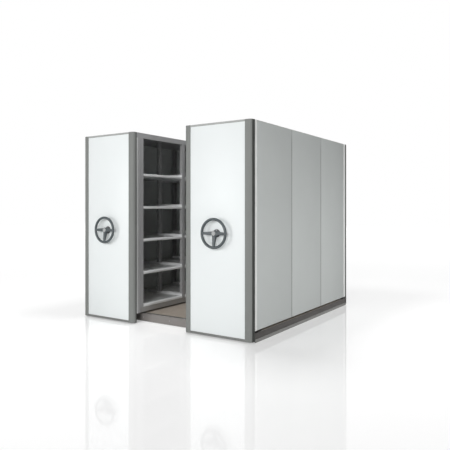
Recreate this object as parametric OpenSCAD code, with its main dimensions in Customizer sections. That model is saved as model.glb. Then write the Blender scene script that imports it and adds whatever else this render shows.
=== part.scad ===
// Mobile compactor shelving: two hand-driven carriages on a low deck with rails.
// X runs along the rails, Y along the carriages (handwheels face -Y), Z is up.

/* [Block] */
// Width of one carriage, measured along the rails
carriage_w = 810; // [740:10:960]
// Length of one carriage, over both end panels
carriage_l = 2500; // [2300:20:3000]
// Height of the carriages above the floor
total_h = 2150; // [2080:10:2400]
// Width of the open aisle between the carriages
aisle_w = 720; // [560:10:900]
// Number of shelf bays along a carriage
bays = 3; // [2:1:4]
// Number of shelf levels in a bay
levels = 5; // [4:1:5]

/* [Platform] */
// Height of the deck above the floor
deck_h = 92; // [86:1:110]
// Thickness of the deck boards and of the rails
deck_t = 18; // [15:1:22]
// How far the platform stands back behind the end panels
setback = 190; // [190:5:240]
// How far the floor skirts stand out beyond the carriages
skirt_out = 12; // [8:1:20]
// Width of a plain rail
rail_w = 48; // [40:1:48]
// Width of the guide rail's head
guide_w = 20; // [16:1:22]
// Width of the box beams under the rails
beam_w = 50; // [48:1:60]
// Depth of the box beams
beam_h = 54; // [40:1:56]

/* [Shelves] */
// Height of the lowest shelf above the floor
shelf_z0 = 195; // [193:1:210]
// Distance from one shelf to the next
shelf_pitch = 373; // [340:1:373]
// Height of a shelf's folded edge
shelf_h = 25; // [20:1:35]
// Sheet thickness of shelves, liners and covers
sheet_t = 1.5; // [1:0.1:2]
// Width of an upright, along the carriage
upright_w = 50; // [44:1:60]
// Depth of an upright, along the rails
upright_d = 40; // [30:1:50]
// Wall of an upright
upright_t = 2; // [1.5:0.1:3]

/* [End panels and cladding] */
// Width of a corner post's front face
post_w = 75; // [60:1:100]
// Depth of a corner post
post_d = 50; // [48:1:60]
// Radius of a corner post's rounded edge
post_r = 36; // [18:1:37]
// Wall of a corner post
post_t = 2.5; // [2:0.1:4]
// Depth of the drive housing between the front corner posts and the front end frame
housing_d = 66; // [50:1:69]
// Height of the posts' feet above the floor
post_z0 = 10; // [6:1:20]
// Depth of the end and side panel trays
tray_d = 20; // [16:1:24]
// Height of the side panels' lower edge above the deck
side_gap = 18; // [12:1:24]
// Width of the light strips beside the side panels
strip_w = 28; // [20:1:36]
// Width of the joint strips between the side panels
seam_w = 14; // [8:1:20]

/* [Running gear] */
// Diameter of the running wheels
wheel_d = 76; // [70:1:80]
// Width of a running wheel's tread
tread_w = 30; // [24:1:34]
// Distance of the wheel rows from the carriage's middle
row_x = 250; // [220:1:262]
// Diameter of the drive shaft
shaft_d = 22; // [18:1:26]
// Radial running clearance of shafts and pins
run_gap = 0.05; // [0.03:0.01:0.09]
// Distance between the two bearings beside a wheel, from the middle
web_y = 42; // [38:1:48]

/* [Handwheel and chain] */
// Height of the handwheel's axis
hand_z = 1045; // [900:5:1150]
// Overall diameter of the handwheel
hand_d = 310; // [260:5:360]
// Diameter of the handwheel's rim tube
rim_d = 28; // [20:1:32]
// How far the rim's middle stands in front of the end panel
rim_out = 54; // [50:1:95]
// Gap between the end panel and the back of the handwheel's hub
hub_gap = 14; // [8:1:24]
// Diameter of the handwheel's hub
hub_d = 54; // [50:1:72]
// Diameter of the handwheel's shaft
hand_shaft_d = 24; // [20:1:28]
// Chain pitch
chain_p = 15.875; // [12.7:0.001:16]
// Teeth of the upper sprocket
teeth_up = 12; // [11:1:13]
// Teeth of the lower sprocket
teeth_low = 30; // [27:1:31]

/* [Hidden] */
$fn = 48;

// Colours
post_grey = [0.48, 0.48, 0.47];
panel_white = [0.93, 0.95, 0.95];
side_white = [0.82, 0.84, 0.83];
shelf_grey = [0.78, 0.79, 0.80];
deck_brown = [0.44, 0.41, 0.38];
fascia_grey = [0.46, 0.45, 0.43];
steel = [0.62, 0.63, 0.65];
dark_steel = [0.32, 0.33, 0.34];
rubber_black = [0.10, 0.10, 0.10];

// Clearances
touch_gap = 0.3;
board_gap = 0.5;
weld_gap = 0.2;

// Carriage, in its own frame: x 0 in its middle, aisle side at -half_w, y 0 at the front plane
half_w = carriage_w / 2;
aisle_face = -half_w + 4;
cladding_x = half_w - tray_d;
base_y0 = post_d;
base_y1 = carriage_l - post_d;
frame_y0 = base_y0 + housing_d;
frame_y1 = base_y1;
bay_pitch = (frame_y1 - frame_y0 - upright_w) / bays;
upright_ys = [for (i = [0 : bays]) frame_y0 + upright_w / 2 + i * bay_pitch];

// Handwheel: its foremost point sets how far the block reaches in front of the end panels
hub_front = rim_out + 2;
cap_h = 6;
reach = max(rim_out + rim_d / 2, hub_front + cap_h);
front_y = (reach - carriage_l) / 2;

// Platform, seen from the front plane of the carriages
track_inset = beam_w / 2;
rail_ys = [setback + track_inset, carriage_l / 2, carriage_l - setback - track_inset];
guide_y = rail_ys[1];
platform_x = aisle_w / 2 + carriage_w;
beam_z0 = deck_h - deck_t - beam_h;
beam_z1 = deck_h - deck_t;
beam_wall = 3;
guide_gap = 14;
fascia_t = 3;

// Running gear
wheel_r = wheel_d / 2;
axle_z = deck_h + wheel_r + touch_gap;
flange_r = wheel_r + 5;
bracket_t = 2;
base_z1 = shelf_z0 - shelf_h - bracket_t;
base_beam_w = 40;
base_beam_h = base_z1 - deck_h - side_gap;
base_x0 = aisle_face + 10;
base_x1 = cladding_x;
under_gap = 14;
cross_z0 = deck_h + under_gap;
cross_t = 4;
cross_d = 22;
shaft_r = shaft_d / 2;
idler_r = 10;
bearing_r = shaft_r + 11;
bearing_l = 16;
front_cross_gap = 20;
front_cross_y = frame_y0 - front_cross_gap;
rear_cross_y = frame_y1 - upright_w - 6;
cross_ys = concat([front_cross_y], [for (y = rail_ys) each [y - web_y, y + web_y]], [rear_cross_y]);
shaft_y0 = front_cross_y - bearing_l - 4;
shaft_y1 = rail_ys[2] + web_y + cross_t + bearing_l;

// Shelving
bracket_up = 28;
shelf_zs = [for (i = [0 : levels - 1]) shelf_z0 + i * shelf_pitch];
slot_pitch = shelf_pitch / 4;
slot_w = 6;
slot_h = 14;
hook_t = 3;
slot_low = -2;
cover_z = total_h - sheet_t;
header_h = 58;
header_z = total_h - header_h;
side_z0 = deck_h + side_gap;
trim_h = 20;
foot_trim_h = 24;
panel_recess = 4;

// Chain drive, in the hollow front end frame
chain_in = 18.5;
chain_y = frame_y0 + chain_in;
sprocket_t = 7.5;
hub_l_up = 20;
hub_l_low = 26;
roller_r = chain_p * 0.32;
pin_r = chain_p * 0.16;
plate_r = chain_p * 0.41;
plate_t = 1.6;
plate_in = sprocket_t / 2 + 1.05;
hand_shaft_r = hand_shaft_d / 2;
hub_r = hub_d / 2;
boss_r = hub_r - 2;
bush_wall = 9;

// Loop of the chain round the two sprockets, as distances along it from the upper tight side
centre_dx = row_x;
centre_dz = hand_z - axle_z;
centre_d = norm([centre_dx, centre_dz]);
line_angle = atan2(-centre_dz, centre_dx);

function pitch_radius(teeth, step) = teeth * step / (2 * PI);
function lean(step) = asin((pitch_radius(teeth_low, step) - pitch_radius(teeth_up, step)) / centre_d);
function run_length(step) = centre_d * cos(lean(step));
function up_arc(step) = pitch_radius(teeth_up, step) * (180 - 2 * lean(step)) * PI / 180;
function low_arc(step) = pitch_radius(teeth_low, step) * (180 + 2 * lean(step)) * PI / 180;
function loop_length(step) = 2 * run_length(step) + up_arc(step) + low_arc(step);
function settle(step, count, turns) = turns == 0 ? step : settle(loop_length(step) / count, count, turns - 1);

link_count = 2 * round(loop_length(chain_p) / chain_p / 2);
link_step = settle(chain_p, link_count, 6);
up_r = pitch_radius(teeth_up, link_step);
low_r = pitch_radius(teeth_low, link_step);
tilt = lean(link_step);
run = run_length(link_step);
arc_low = low_arc(link_step);

function on_circle(r, a) = [r * cos(a), r * sin(a)];
low_centre = [centre_dx, -centre_dz];
leave_angle = line_angle + 90 + tilt;
back_angle = line_angle - 90 - tilt;
// A point of the loop in x and z, from the upper sprocket's centre
function loop_point(s) =
    s < run ? on_circle(up_r, leave_angle) + s * on_circle(1, leave_angle - 90)
    : s < run + arc_low ? low_centre + on_circle(low_r, leave_angle - (s - run) / low_r * 180 / PI)
    : s < 2 * run + arc_low ? low_centre + on_circle(low_r, back_angle)
        + (s - run - arc_low) * on_circle(1, back_angle - 90)
    : on_circle(up_r, back_angle - (s - 2 * run - arc_low) / up_r * 180 / PI);
pins = [for (i = [0 : link_count]) loop_point((i % link_count) * link_step)];
// A pin on each sprocket's arc sets the angle that its teeth stand at
low_pin_angle = leave_angle - (ceil(run / link_step) * link_step - run) / low_r * 180 / PI;
up_pin_angle = leave_angle;

// Straight solids along X, Y and Z from a drawn section
module prism_x(x0, x1) { translate([x0, 0, 0]) rotate([90, 0, 90]) linear_extrude(x1 - x0) children(); }
module prism_y(y0, y1) { translate([0, y1, 0]) rotate([90, 0, 0]) linear_extrude(y1 - y0) children(); }
module prism_z(z0, z1) { translate([0, 0, z0]) linear_extrude(z1 - z0) children(); }
module rod_y(x, z, y0, y1, r) { translate([x, y1, z]) rotate([90, 0, 0]) cylinder(h = y1 - y0, r = r); }
module block(p0, p1) { translate(p0) cube(p1 - p0); }
module ring_section(w, h, t) {
    difference() {
        square([w, h]);
        translate([t, t]) square([w - 2 * t, h - 2 * t]);
    }
}
module box_x(x0, x1, y, z, w, h, t) { prism_x(x0, x1) translate([y, z]) ring_section(w, h, t); }
module box_y(y0, y1, x, z, w, h, t) { prism_y(y0, y1) translate([x, z]) ring_section(w, h, t); }
module turned_y(x, y, z) { translate([x, y, z]) rotate([90, 0, 0]) rotate_extrude() children(); }

// Both carriages are built once and stand as mirror images
module on_platform() { translate([0, front_y, 0]) children(); }
module carriage(side) {
    translate([side * (aisle_w + carriage_w) / 2, front_y, 0])
        if (side < 0) mirror([1, 0, 0]) children();
        else children();
}

// Platform: a beam under each rail, with joists between them under the boards' seams
module platform_frame() {
    joist_w = 40;
    joist_count = 7;
    joist_step = (2 * platform_x - joist_w) / (joist_count - 1);
    color(dark_steel) on_platform() {
        for (y = rail_ys) box_x(-platform_x, platform_x, y - beam_w / 2, beam_z0, beam_w, beam_h, beam_wall);
        for (i = [0 : joist_count - 1], k = [0, 1])
            box_y(rail_ys[k] + beam_w / 2 + weld_gap, rail_ys[k + 1] - beam_w / 2 - weld_gap,
                -platform_x + i * joist_step, beam_z0, joist_w, beam_h, beam_wall);
    }
}

module guide_section() {
    stem_w = guide_w * 0.4;
    head_h = deck_t * 0.45;
    translate([-stem_w / 2, 0]) square([stem_w, deck_t]);
    translate([-guide_w / 2, deck_t - head_h]) square([guide_w, head_h]);
    translate([-guide_w / 2, 0]) square([guide_w, 2]);
}

module rails() {
    color(steel) on_platform() {
        for (y = [rail_ys[0], rail_ys[2]])
            prism_x(-platform_x, platform_x) translate([y - rail_w / 2, beam_z1]) square([rail_w, deck_t]);
        prism_x(-platform_x, platform_x) translate([guide_y, beam_z1]) guide_section();
    }
}

module deck_boards() {
    board_count = 3;
    joint_w = 2;
    pitch = (2 * platform_x + joint_w) / board_count;
    edges = [rail_ys[0] + rail_w / 2 + 1, guide_y - guide_w / 2 - guide_gap,
        guide_y + guide_w / 2 + guide_gap, rail_ys[2] - rail_w / 2 - 1];
    color(deck_brown) on_platform()
        for (i = [0 : board_count - 1], k = [0, 2])
            block([-platform_x + i * pitch, edges[k], beam_z1],
                [-platform_x + (i + 1) * pitch - joint_w, edges[k + 1], deck_h]);
}

// Sheets that close the platform's four sides, clipped under its beams at the front and rear
side_y0 = base_y0 + 6;
module fascia() {
    y0 = rail_ys[0] - beam_w / 2;
    lip = 12;
    z0 = 4;
    z1 = deck_h - 2;
    color(fascia_grey) on_platform() {
        for (end = [0, 1]) translate([0, end * carriage_l, 0]) mirror([0, end, 0])
            prism_x(weld_gap - platform_x, platform_x - weld_gap) {
                translate([y0 - fascia_t, z0]) square([fascia_t, z1 - z0]);
                translate([y0 - fascia_t, beam_z0 - 2]) square([fascia_t + lip, 2]);
            }
        for (end = [0, 1]) mirror([end, 0, 0])
            prism_y(side_y0, carriage_l - side_y0) translate([platform_x, z0]) square([fascia_t, z1 - z0]);
    }
}

// Low chamfered strips that meet the floor along the two sides
module floor_skirts() {
    skirt_h = 30;
    x0 = platform_x + fascia_t;
    x1 = platform_x + skirt_out;
    color(side_white * 0.6) on_platform()
        for (end = [0, 1]) mirror([end, 0, 0])
            prism_y(side_y0, carriage_l - side_y0)
                polygon([[x0, 0], [x1, 0], [x1, skirt_h - 6], [x1 - 5, skirt_h], [x0, skirt_h]]);
}

// Low chocks at the rails' ends, which the panels' lower edges pass over, with pads for the outer wheels
stop_h = side_gap - 4;
stop_w = 36;
pad_angle = 38;
pad_reach = wheel_r + 1;
pad_z0 = deck_h + 1.5;
pad_z1 = deck_h + stop_h - 1;
outer_axle_x = aisle_w / 2 + half_w + row_x;
// The pad's slope is square to the wheel's radius at pad_angle from straight down
function pad_x(z) = outer_axle_x + pad_reach * sin(pad_angle)
    + (z - axle_z + pad_reach * cos(pad_angle)) / tan(pad_angle);
stop_x = pad_x(pad_z1) + 3;
module end_stops() {
    leg = 5;
    fillet = 4;
    foot_l = 50;
    bolt_in = 16;
    bolt_r = 4.5;
    color(dark_steel) on_platform()
        for (end = [0, 1], y = [rail_ys[0], rail_ys[2]]) mirror([end, 0, 0])
            difference() {
                prism_y(y - stop_w / 2, y + stop_w / 2)
                    polygon([[stop_x, deck_h], [stop_x + foot_l, deck_h], [stop_x + foot_l, deck_h + leg],
                        [stop_x + leg + fillet, deck_h + leg], [stop_x + leg, deck_h + leg + fillet],
                        [stop_x + leg, deck_h + stop_h], [stop_x, deck_h + stop_h]]);
                translate([stop_x + foot_l - bolt_in, y, deck_h - 1]) cylinder(h = leg + 2, r = bolt_r);
            }
}

module stop_pads() {
    color(rubber_black) on_platform()
        for (end = [0, 1], y = [rail_ys[0], rail_ys[2]]) mirror([end, 0, 0])
            prism_y(y - stop_w / 2 + 3, y + stop_w / 2 - 3)
                polygon([[pad_x(pad_z0), pad_z0], [stop_x, pad_z0],
                    [stop_x, pad_z1], [pad_x(pad_z1), pad_z1]]);
}

module levelling_feet() {
    pad_h = 8;
    foot_r = 24;
    stud_r = 6;
    nut_h = 6;
    nut_r = 10;
    foot_count = 4;
    inset = 90;
    step = 2 * (platform_x - inset) / (foot_count - 1);
    color(dark_steel) on_platform()
        for (i = [0 : foot_count - 1], y = rail_ys)
            translate([-platform_x + inset + i * step, y, 0]) {
                cylinder(h = pad_h, r = foot_r);
                cylinder(h = beam_z0, r = stud_r);
                translate([0, 0, beam_z0 - nut_h]) cylinder(h = nut_h, r = nut_r, $fn = 6);
            }
}

// Base frame: two long box beams, cross channels at the rails and flat bearers under the uprights
module cross_section(open_dir) {
    h = base_z1 - cross_z0;
    mirror([open_dir < 0 ? 1 : 0, 0]) translate([0, cross_z0]) difference() {
        square([cross_d, h]);
        translate([cross_t, cross_t]) square([cross_d, h - 2 * cross_t]);
    }
}

module base_frame() {
    beam_z = base_z1 - base_beam_h;
    x0 = base_x0 + base_beam_w + weld_gap;
    x1 = base_x1 - base_beam_w - weld_gap;
    last = len(cross_ys) - 1;
    bearer_h = 16;
    bearer_t = 2;
    color(dark_steel) {
        for (x = [base_x0, base_x1 - base_beam_w])
            box_y(base_y0, base_y1, x, beam_z, base_beam_w, base_beam_h, beam_wall);
        for (i = [0 : last], y = cross_ys[i]) difference() {
            prism_x(x0, x1) translate([y, 0]) cross_section(i % 2 == 0 ? 1 : -1);
            if (i < last) rod_y(row_x, axle_z, y - cross_d, y + cross_d, shaft_r + 3);
            if (i > 0 && i < last) rod_y(-row_x, axle_z, y - cross_d, y + cross_d, idler_r);
        }
        for (i = [1 : bays])
            box_x(x0, x1, upright_ys[i] - upright_w / 2, base_z1 - bearer_h, upright_w, bearer_h, bearer_t);
    }
}

// Two-bolt flange bearing of the drive shaft, on the flat side of a cross channel's web
module shaft_bearing(y, dir) {
    flange_t = 6;
    ear_out = 12;
    ear_r = 9;
    bolt_r = 4;
    boss_in = 5;
    ear_x = bearing_r + ear_out;
    lean_in = asin((bearing_r - ear_r) / ear_x);
    flank = [for (r = [bearing_r, ear_r]) [r * sin(lean_in), r * cos(lean_in)]];
    translate([row_x, y, axle_z]) rotate([dir > 0 ? -90 : 90, 0, 0]) difference() {
        union() {
            linear_extrude(flange_t) for (e = [0, 1]) mirror([e, 0]) {
                circle(r = bearing_r);
                translate([ear_x, 0]) circle(r = ear_r);
                polygon([[flank[0][0], flank[0][1]], [ear_x + flank[1][0], flank[1][1]],
                    [ear_x + flank[1][0], -flank[1][1]], [flank[0][0], -flank[0][1]]]);
            }
            cylinder(h = bearing_l, r = bearing_r - boss_in);
        }
        translate([0, 0, -1]) cylinder(h = bearing_l + 2, r = shaft_r + run_gap);
        for (e = [-1, 1]) translate([e * ear_x, 0, -1]) cylinder(h = flange_t + 2, r = bolt_r);
    }
}

module shaft_bearings() {
    color(steel)
        for (i = [0 : len(cross_ys) - 2]) shaft_bearing(cross_ys[i], i % 2 == 0 ? -1 : 1);
}

module idler_axles() {
    out = web_y + cross_t;
    hub_end = tread_w / 2 + 7 + touch_gap;
    color(steel)
        for (y = rail_ys) {
            rod_y(-row_x, axle_z, y - out - 6, y + out, idler_r - 0.01);
            rod_y(-row_x, axle_z, y + out, y + out + 6, idler_r + 5);
            rod_y(-row_x, axle_z, y - out - 6, y - out, idler_r + 5);
            for (e = [0, 1]) translate([-row_x, y, axle_z]) mirror([0, e, 0]) difference() {
                rod_y(0, 0, hub_end, web_y, idler_r + 4);
                rod_y(0, 0, hub_end - 1, web_y + 1, idler_r);
            }
        }
}

// Claw that reaches under the guide rail's head, so that the carriage can't tip
module tilt_guard() {
    plate_t2 = 5;
    overhang = 16;
    half_l = 45;
    leg_in = guide_w / 2 + 2;
    leg_t = 7;
    toe_z0 = beam_z1 + 3.5;
    toe_z1 = deck_h - deck_t * 0.45 - 1.5;
    color(steel)
        prism_x(-half_l, half_l) translate([guide_y, 0]) {
            translate([-web_y - overhang, cross_z0 - plate_t2]) square([2 * (web_y + overhang), plate_t2]);
            for (dir = [-1, 1]) mirror([dir < 0 ? 1 : 0, 0]) {
                translate([leg_in, toe_z0]) square([leg_t, cross_z0 - toe_z0]);
                translate([guide_w * 0.2 + 2.5, toe_z0]) square([leg_in - guide_w * 0.2, toe_z1 - toe_z0]);
            }
        }
}

// Uprights: slotted C sections; the front end frame leaves its middle free for the chain
function upright_xs(i) = concat([aisle_face], i == 0 ? [] : [-upright_d / 2], [cladding_x - upright_d]);
slot_count = floor((header_z - shelf_z0 - 20) / slot_pitch);

module upright_section() {
    lip = 12;
    difference() {
        square([upright_d, upright_w]);
        translate([upright_t, upright_t]) square([upright_d - 2 * upright_t, upright_w - 2 * upright_t]);
        translate([upright_d - upright_t - 1, lip]) square([upright_t + 2, upright_w - 2 * lip]);
    }
}

module uprights() {
    slot_x = upright_d / 2 - slot_w / 2;
    color(shelf_grey)
        for (i = [0 : bays], x = upright_xs(i))
            translate([x, upright_ys[i] - upright_w / 2, 0]) difference() {
                prism_z(base_z1, cover_z)
                    if (x < 0) upright_section();
                    else translate([upright_d, 0]) mirror([1, 0]) upright_section();
                for (k = [0 : slot_count])
                    translate([slot_x, -1, shelf_z0 + slot_low + k * slot_pitch])
                        cube([slot_w, upright_w + 2, slot_h]);
            }
}

// Brackets hook into the uprights and carry the ends of the shelf boards
module bracket(i, toward) {
    web_y0 = upright_ys[i] + toward * upright_w / 2;
    flange = 18;
    x0 = aisle_face + 6;
    x1 = cladding_x - 4;
    hook_in = upright_t + 4;
    translate([0, web_y0, 0]) mirror([0, toward < 0 ? 1 : 0, 0]) {
        prism_x(x0, x1) {
            translate([0, -shelf_h - bracket_t]) square([bracket_t, shelf_h + bracket_t + bracket_up]);
            translate([0, -shelf_h - bracket_t]) square([flange, bracket_t]);
        }
        for (x = upright_xs(i)) translate([x + upright_d / 2 - hook_t / 2, 0, 0]) {
            block([0, -hook_in, slot_low], [hook_t, 0, slot_low + 6]);
            block([0, -hook_in, slot_low - 6], [hook_t, -upright_t - 0.5, slot_low + 6]);
        }
    }
}

module shelf_brackets() {
    color(shelf_grey)
        for (z = shelf_zs, i = [0 : bays]) translate([0, 0, z]) {
            if (i < bays) bracket(i, 1);
            if (i > 0) bracket(i, -1);
        }
}

// A board is a folded tray: top skin, two edges and a safe inward return under each
module board_section(w) {
    fold = 14;
    difference() {
        square([w, shelf_h]);
        translate([sheet_t, sheet_t]) square([w - 2 * sheet_t, shelf_h - 2 * sheet_t]);
        translate([fold, -1]) square([w - 2 * fold, shelf_h - sheet_t]);
    }
}

module shelves() {
    x_out = cladding_x - 2;
    x_in = aisle_face + 1;
    end_gap = bracket_t + board_gap;
    color(shelf_grey)
        for (z = shelf_zs, i = [0 : bays - 1])
            prism_y(upright_ys[i] + upright_w / 2 + end_gap, upright_ys[i + 1] - upright_w / 2 - end_gap)
                translate([0, z - shelf_h]) {
                    translate([x_in, 0]) board_section(-1 - x_in);
                    translate([1, 0]) board_section(x_out - 1);
                }
}

// Liners close the end frames towards the bays, the rear one beside its middle post
module liners() {
    front_y1 = frame_y0 + upright_w;
    rear_y0 = frame_y1 - upright_w;
    x0 = aisle_face + upright_d;
    x1 = cladding_x - upright_d;
    color(shelf_grey) {
        block([x0, front_y1 - sheet_t, base_z1], [x1, front_y1, cover_z]);
        for (xs = [[x0, -upright_d / 2], [upright_d / 2, x1]])
            block([xs[0], rear_y0, base_z1], [xs[1], rear_y0 + sheet_t, cover_z]);
    }
}

// Top cover with a deep header over the aisle, folded inwards between the uprights. Under the header
// a cheek closes the drive housing to the aisle.
module top_cover() {
    x0 = aisle_face - sheet_t;
    fold = 18;
    color(post_grey) {
        prism_y(base_y0, base_y1) {
            translate([x0, cover_z]) square([half_w - x0, sheet_t]);
            translate([x0, header_z]) square([sheet_t, header_h]);
        }
        for (i = [0 : bays - 1])
            block([x0, upright_ys[i] + upright_w / 2 + 1, header_z],
                [x0 + fold, upright_ys[i + 1] - upright_w / 2 - 1, header_z + sheet_t]);
        aisle_tray(base_y0 + strip_w + 1, frame_y0 - 1);
    }
}

// Plan of a folded tray of width w and depth d, open at its back, with bevelled front edges
module tray_plan(w, d, bevel, t) {
    k = t * tan(22.5);
    difference() {
        polygon([[0, 0], [d - bevel, 0], [d, bevel], [d, w - bevel], [d - bevel, w], [0, w]]);
        polygon([[-1, t], [d - bevel - k, t], [d - t, bevel + k],
            [d - t, w - bevel - k], [d - bevel - k, w - t], [-1, w - t]]);
    }
}

// A tray that closes the aisle side between y0 and y1, from the base up to the header
module aisle_tray(y0, y1) {
    translate([base_x0, y0, 0]) mirror([1, 0, 0])
        prism_z(side_z0, header_z) tray_plan(y1 - y0, base_x0 - aisle_face + sheet_t, 2, sheet_t);
}

// Side panels on the outer side, one for each bay, with a light strip at either end
clad_y0 = base_y0 + strip_w;
side_pitch = (carriage_l - 2 * clad_y0 + seam_w) / bays;
module side_panels() {
    color(side_white)
        for (i = [0 : bays - 1])
            translate([cladding_x, clad_y0 + i * side_pitch, 0])
                prism_z(side_z0, cover_z) tray_plan(side_pitch - seam_w, tray_d, 3, sheet_t);
}

// A third strip runs beside the front post on the aisle side
module edge_strips() {
    color(panel_white) {
        for (end = [0, 1]) translate([0, end * carriage_l, 0]) mirror([0, end, 0])
            translate([cladding_x, base_y0 + 1, 0])
                prism_z(side_z0, cover_z) tray_plan(strip_w - 2, tray_d, 3, sheet_t);
        aisle_tray(base_y0 + 1, base_y0 + strip_w - 1);
    }
}

// Corner posts: hollow extrusions with a rounded outer edge and a groove for the seal
seal_y0 = post_r + 1;
seal_w = 9;
seal_out = 3;
seal_depth = seal_w - seal_out;
module post_outline(r, inset) {
    x1 = post_w - inset;
    difference() {
        translate([inset, inset]) square([x1 - inset, post_d - 2 * inset]);
        difference() {
            translate([x1 - r, inset - 1]) square([r + 1, r + 1]);
            translate([x1 - r, inset + r]) circle(r = r);
        }
    }
}

module post_section() {
    rib_x = post_w * 0.45;
    difference() {
        post_outline(post_r, 0);
        difference() {
            post_outline(post_r - post_t, post_t);
            translate([rib_x, 0]) square([post_t, post_d]);
            translate([post_w - seal_depth - post_t, seal_y0 - post_t]) square([post_w, post_d]);
        }
        translate([post_w - seal_depth, seal_y0]) square([seal_depth + 1, seal_w]);
    }
}

module four_corners() {
    for (ex = [0, 1], ey = [0, 1])
        mirror([ex, 0, 0]) translate([half_w - post_w, ey * carriage_l, 0]) mirror([0, ey, 0]) children();
}

module corner_posts() {
    color(post_grey) four_corners() prism_z(post_z0, total_h) post_section();
}

module seal_strips() {
    bead_r = seal_w / 2;
    color(rubber_black)
        four_corners() prism_z(post_z0 + 2, total_h - 2) {
            translate([post_w - seal_depth, seal_y0]) square([seal_depth + seal_out - bead_r, seal_w]);
            translate([post_w + seal_out - bead_r, seal_y0 + bead_r]) circle(r = bead_r);
        }
}

// End panels: white trays between the posts; the front one is open for the hub's boss
panel_x = half_w - post_w;
panel_z0 = post_z0 + foot_trim_h;
panel_z1 = total_h - trim_h;
module end_tray() {
    back = panel_recess + tray_d;
    fold = 12;
    block([-panel_x, panel_recess, panel_z0], [panel_x, panel_recess + sheet_t, panel_z1]);
    for (e = [0, 1]) mirror([e, 0, 0]) {
        block([panel_x - sheet_t, panel_recess, panel_z0], [panel_x, back, panel_z1]);
        block([panel_x - fold, back - sheet_t, panel_z0], [panel_x, back, panel_z1]);
    }
    for (z = [panel_z0, panel_z1 - sheet_t]) block([-panel_x, panel_recess, z], [panel_x, back, z + sheet_t]);
}

module end_panels() {
    color(panel_white) {
        difference() {
            end_tray();
            rod_y(0, hand_z, -10, panel_recess + tray_d / 2, boss_r + touch_gap);
        }
        translate([0, carriage_l, 0]) mirror([0, 1, 0]) end_tray();
    }
}

// Trims above and below the end panels, and the joint strips between the side panels
module panel_trims() {
    d = post_d - 4;
    joint_w = seam_w - 2 * touch_gap;
    joint_d = tray_d - 1;
    color(post_grey) {
        for (i = [1 : bays - 1])
            prism_z(side_z0, cover_z) translate([cladding_x, clad_y0 + i * side_pitch - seam_w + touch_gap])
                ring_section(joint_d, joint_w, sheet_t);
        for (e = [0, 1]) translate([0, e * carriage_l, 0]) mirror([0, e, 0]) prism_x(-panel_x, panel_x) {
            difference() {
                translate([2, panel_z1]) square([d, trim_h]);
                translate([2 + sheet_t, panel_z1 + sheet_t]) square([d, trim_h - 2 * sheet_t]);
            }
            difference() {
                translate([2, post_z0]) square([d, foot_trim_h]);
                translate([2 + sheet_t, post_z0 + sheet_t]) square([d, foot_trim_h - 2 * sheet_t]);
            }
        }
    }
}

// Two flat bars of the front end frame carry the handwheel's bearings
bar_t = 3;
bar_h = 80;
bar_ys = [frame_y0 + 1, frame_y0 + upright_w - sheet_t - bar_t - 1];
module drive_bracket() {
    x0 = aisle_face + upright_d;
    x1 = cladding_x - upright_d;
    color(dark_steel)
        for (y = bar_ys) difference() {
            block([x0, y, hand_z - bar_h / 2], [x1, y + bar_t, hand_z + bar_h / 2]);
            rod_y(0, hand_z, y - 1, y + bar_t + 1, hand_shaft_r + 2);
        }
}

module hub_bearing() {
    boss_y0 = 2 - hub_gap;
    boss_y1 = panel_recess + tray_d;
    rose_out = 14;
    rose_r = hub_r + rose_out;
    rose_t = 4;
    color(dark_steel) {
        difference() {
            union() {
                rod_y(0, hand_z, boss_y0, boss_y1, boss_r);
                rod_y(0, hand_z, boss_y1 - 1, bar_ys[0], hand_shaft_r + bush_wall);
                rod_y(0, hand_z, panel_recess - rose_t, panel_recess, rose_r);
            }
            rod_y(0, hand_z, boss_y0 - 1, bar_ys[0] + 1, hand_shaft_r + run_gap);
        }
        difference() {
            rod_y(0, hand_z, bar_ys[1] - bush_wall, bar_ys[1], hand_shaft_r + bush_wall);
            rod_y(0, hand_z, bar_ys[1] - bush_wall - 1, bar_ys[1] + 1, hand_shaft_r + run_gap);
        }
    }
}

// Handwheel: round rim on a deep hub, with three spokes that thin out from the hub to the rim
rim_r = (hand_d - rim_d) / 2;
module spoke_plan(a) {
    half_in = hub_d * 0.36;
    half_out = rim_d * 0.38;
    rotate(a) polygon([[0, -half_in], [hub_r, -half_in], [rim_r, -half_out], [rim_r, half_out],
        [hub_r, half_in], [0, half_in]]);
}

module dished_section() {
    spoke_t = rim_d * 0.5;
    in_r = hub_r - 6;
    out_r = rim_r - 4;
    polygon([[in_r, hub_gap + 4], [out_r, rim_out - spoke_t / 2], [out_r, rim_out + spoke_t / 2],
        [in_r, hub_front - 3]]);
}

module handwheel() {
    color(post_grey) translate([0, 0, hand_z]) rotate([90, 0, 0]) difference() {
        union() {
            translate([0, 0, rim_out]) rotate_extrude() translate([rim_r, 0]) circle(r = rim_d / 2);
            translate([0, 0, hub_gap]) cylinder(h = hub_front - hub_gap, r = hub_r);
            intersection() {
                rotate_extrude() dished_section();
                linear_extrude(rim_out + rim_d) for (a = [0, 180, 270]) spoke_plan(a);
            }
        }
        translate([0, 0, hub_gap - 1]) cylinder(h = hub_front - hub_gap + 2, r = hand_shaft_r);
    }
}

module hub_cap() {
    r = hub_r - 4;
    color(side_white)
        turned_y(0, -hub_front, hand_z)
            polygon([[0, 0], [r, 0], [r, cap_h * 0.4], [r - 3, cap_h * 0.8], [r - 9, cap_h], [0, cap_h]]);
}

module wheel_shaft() {
    color(steel) rod_y(0, hand_z, -hub_front, bar_ys[1] + bar_t, hand_shaft_r - 0.01);
}

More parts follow.
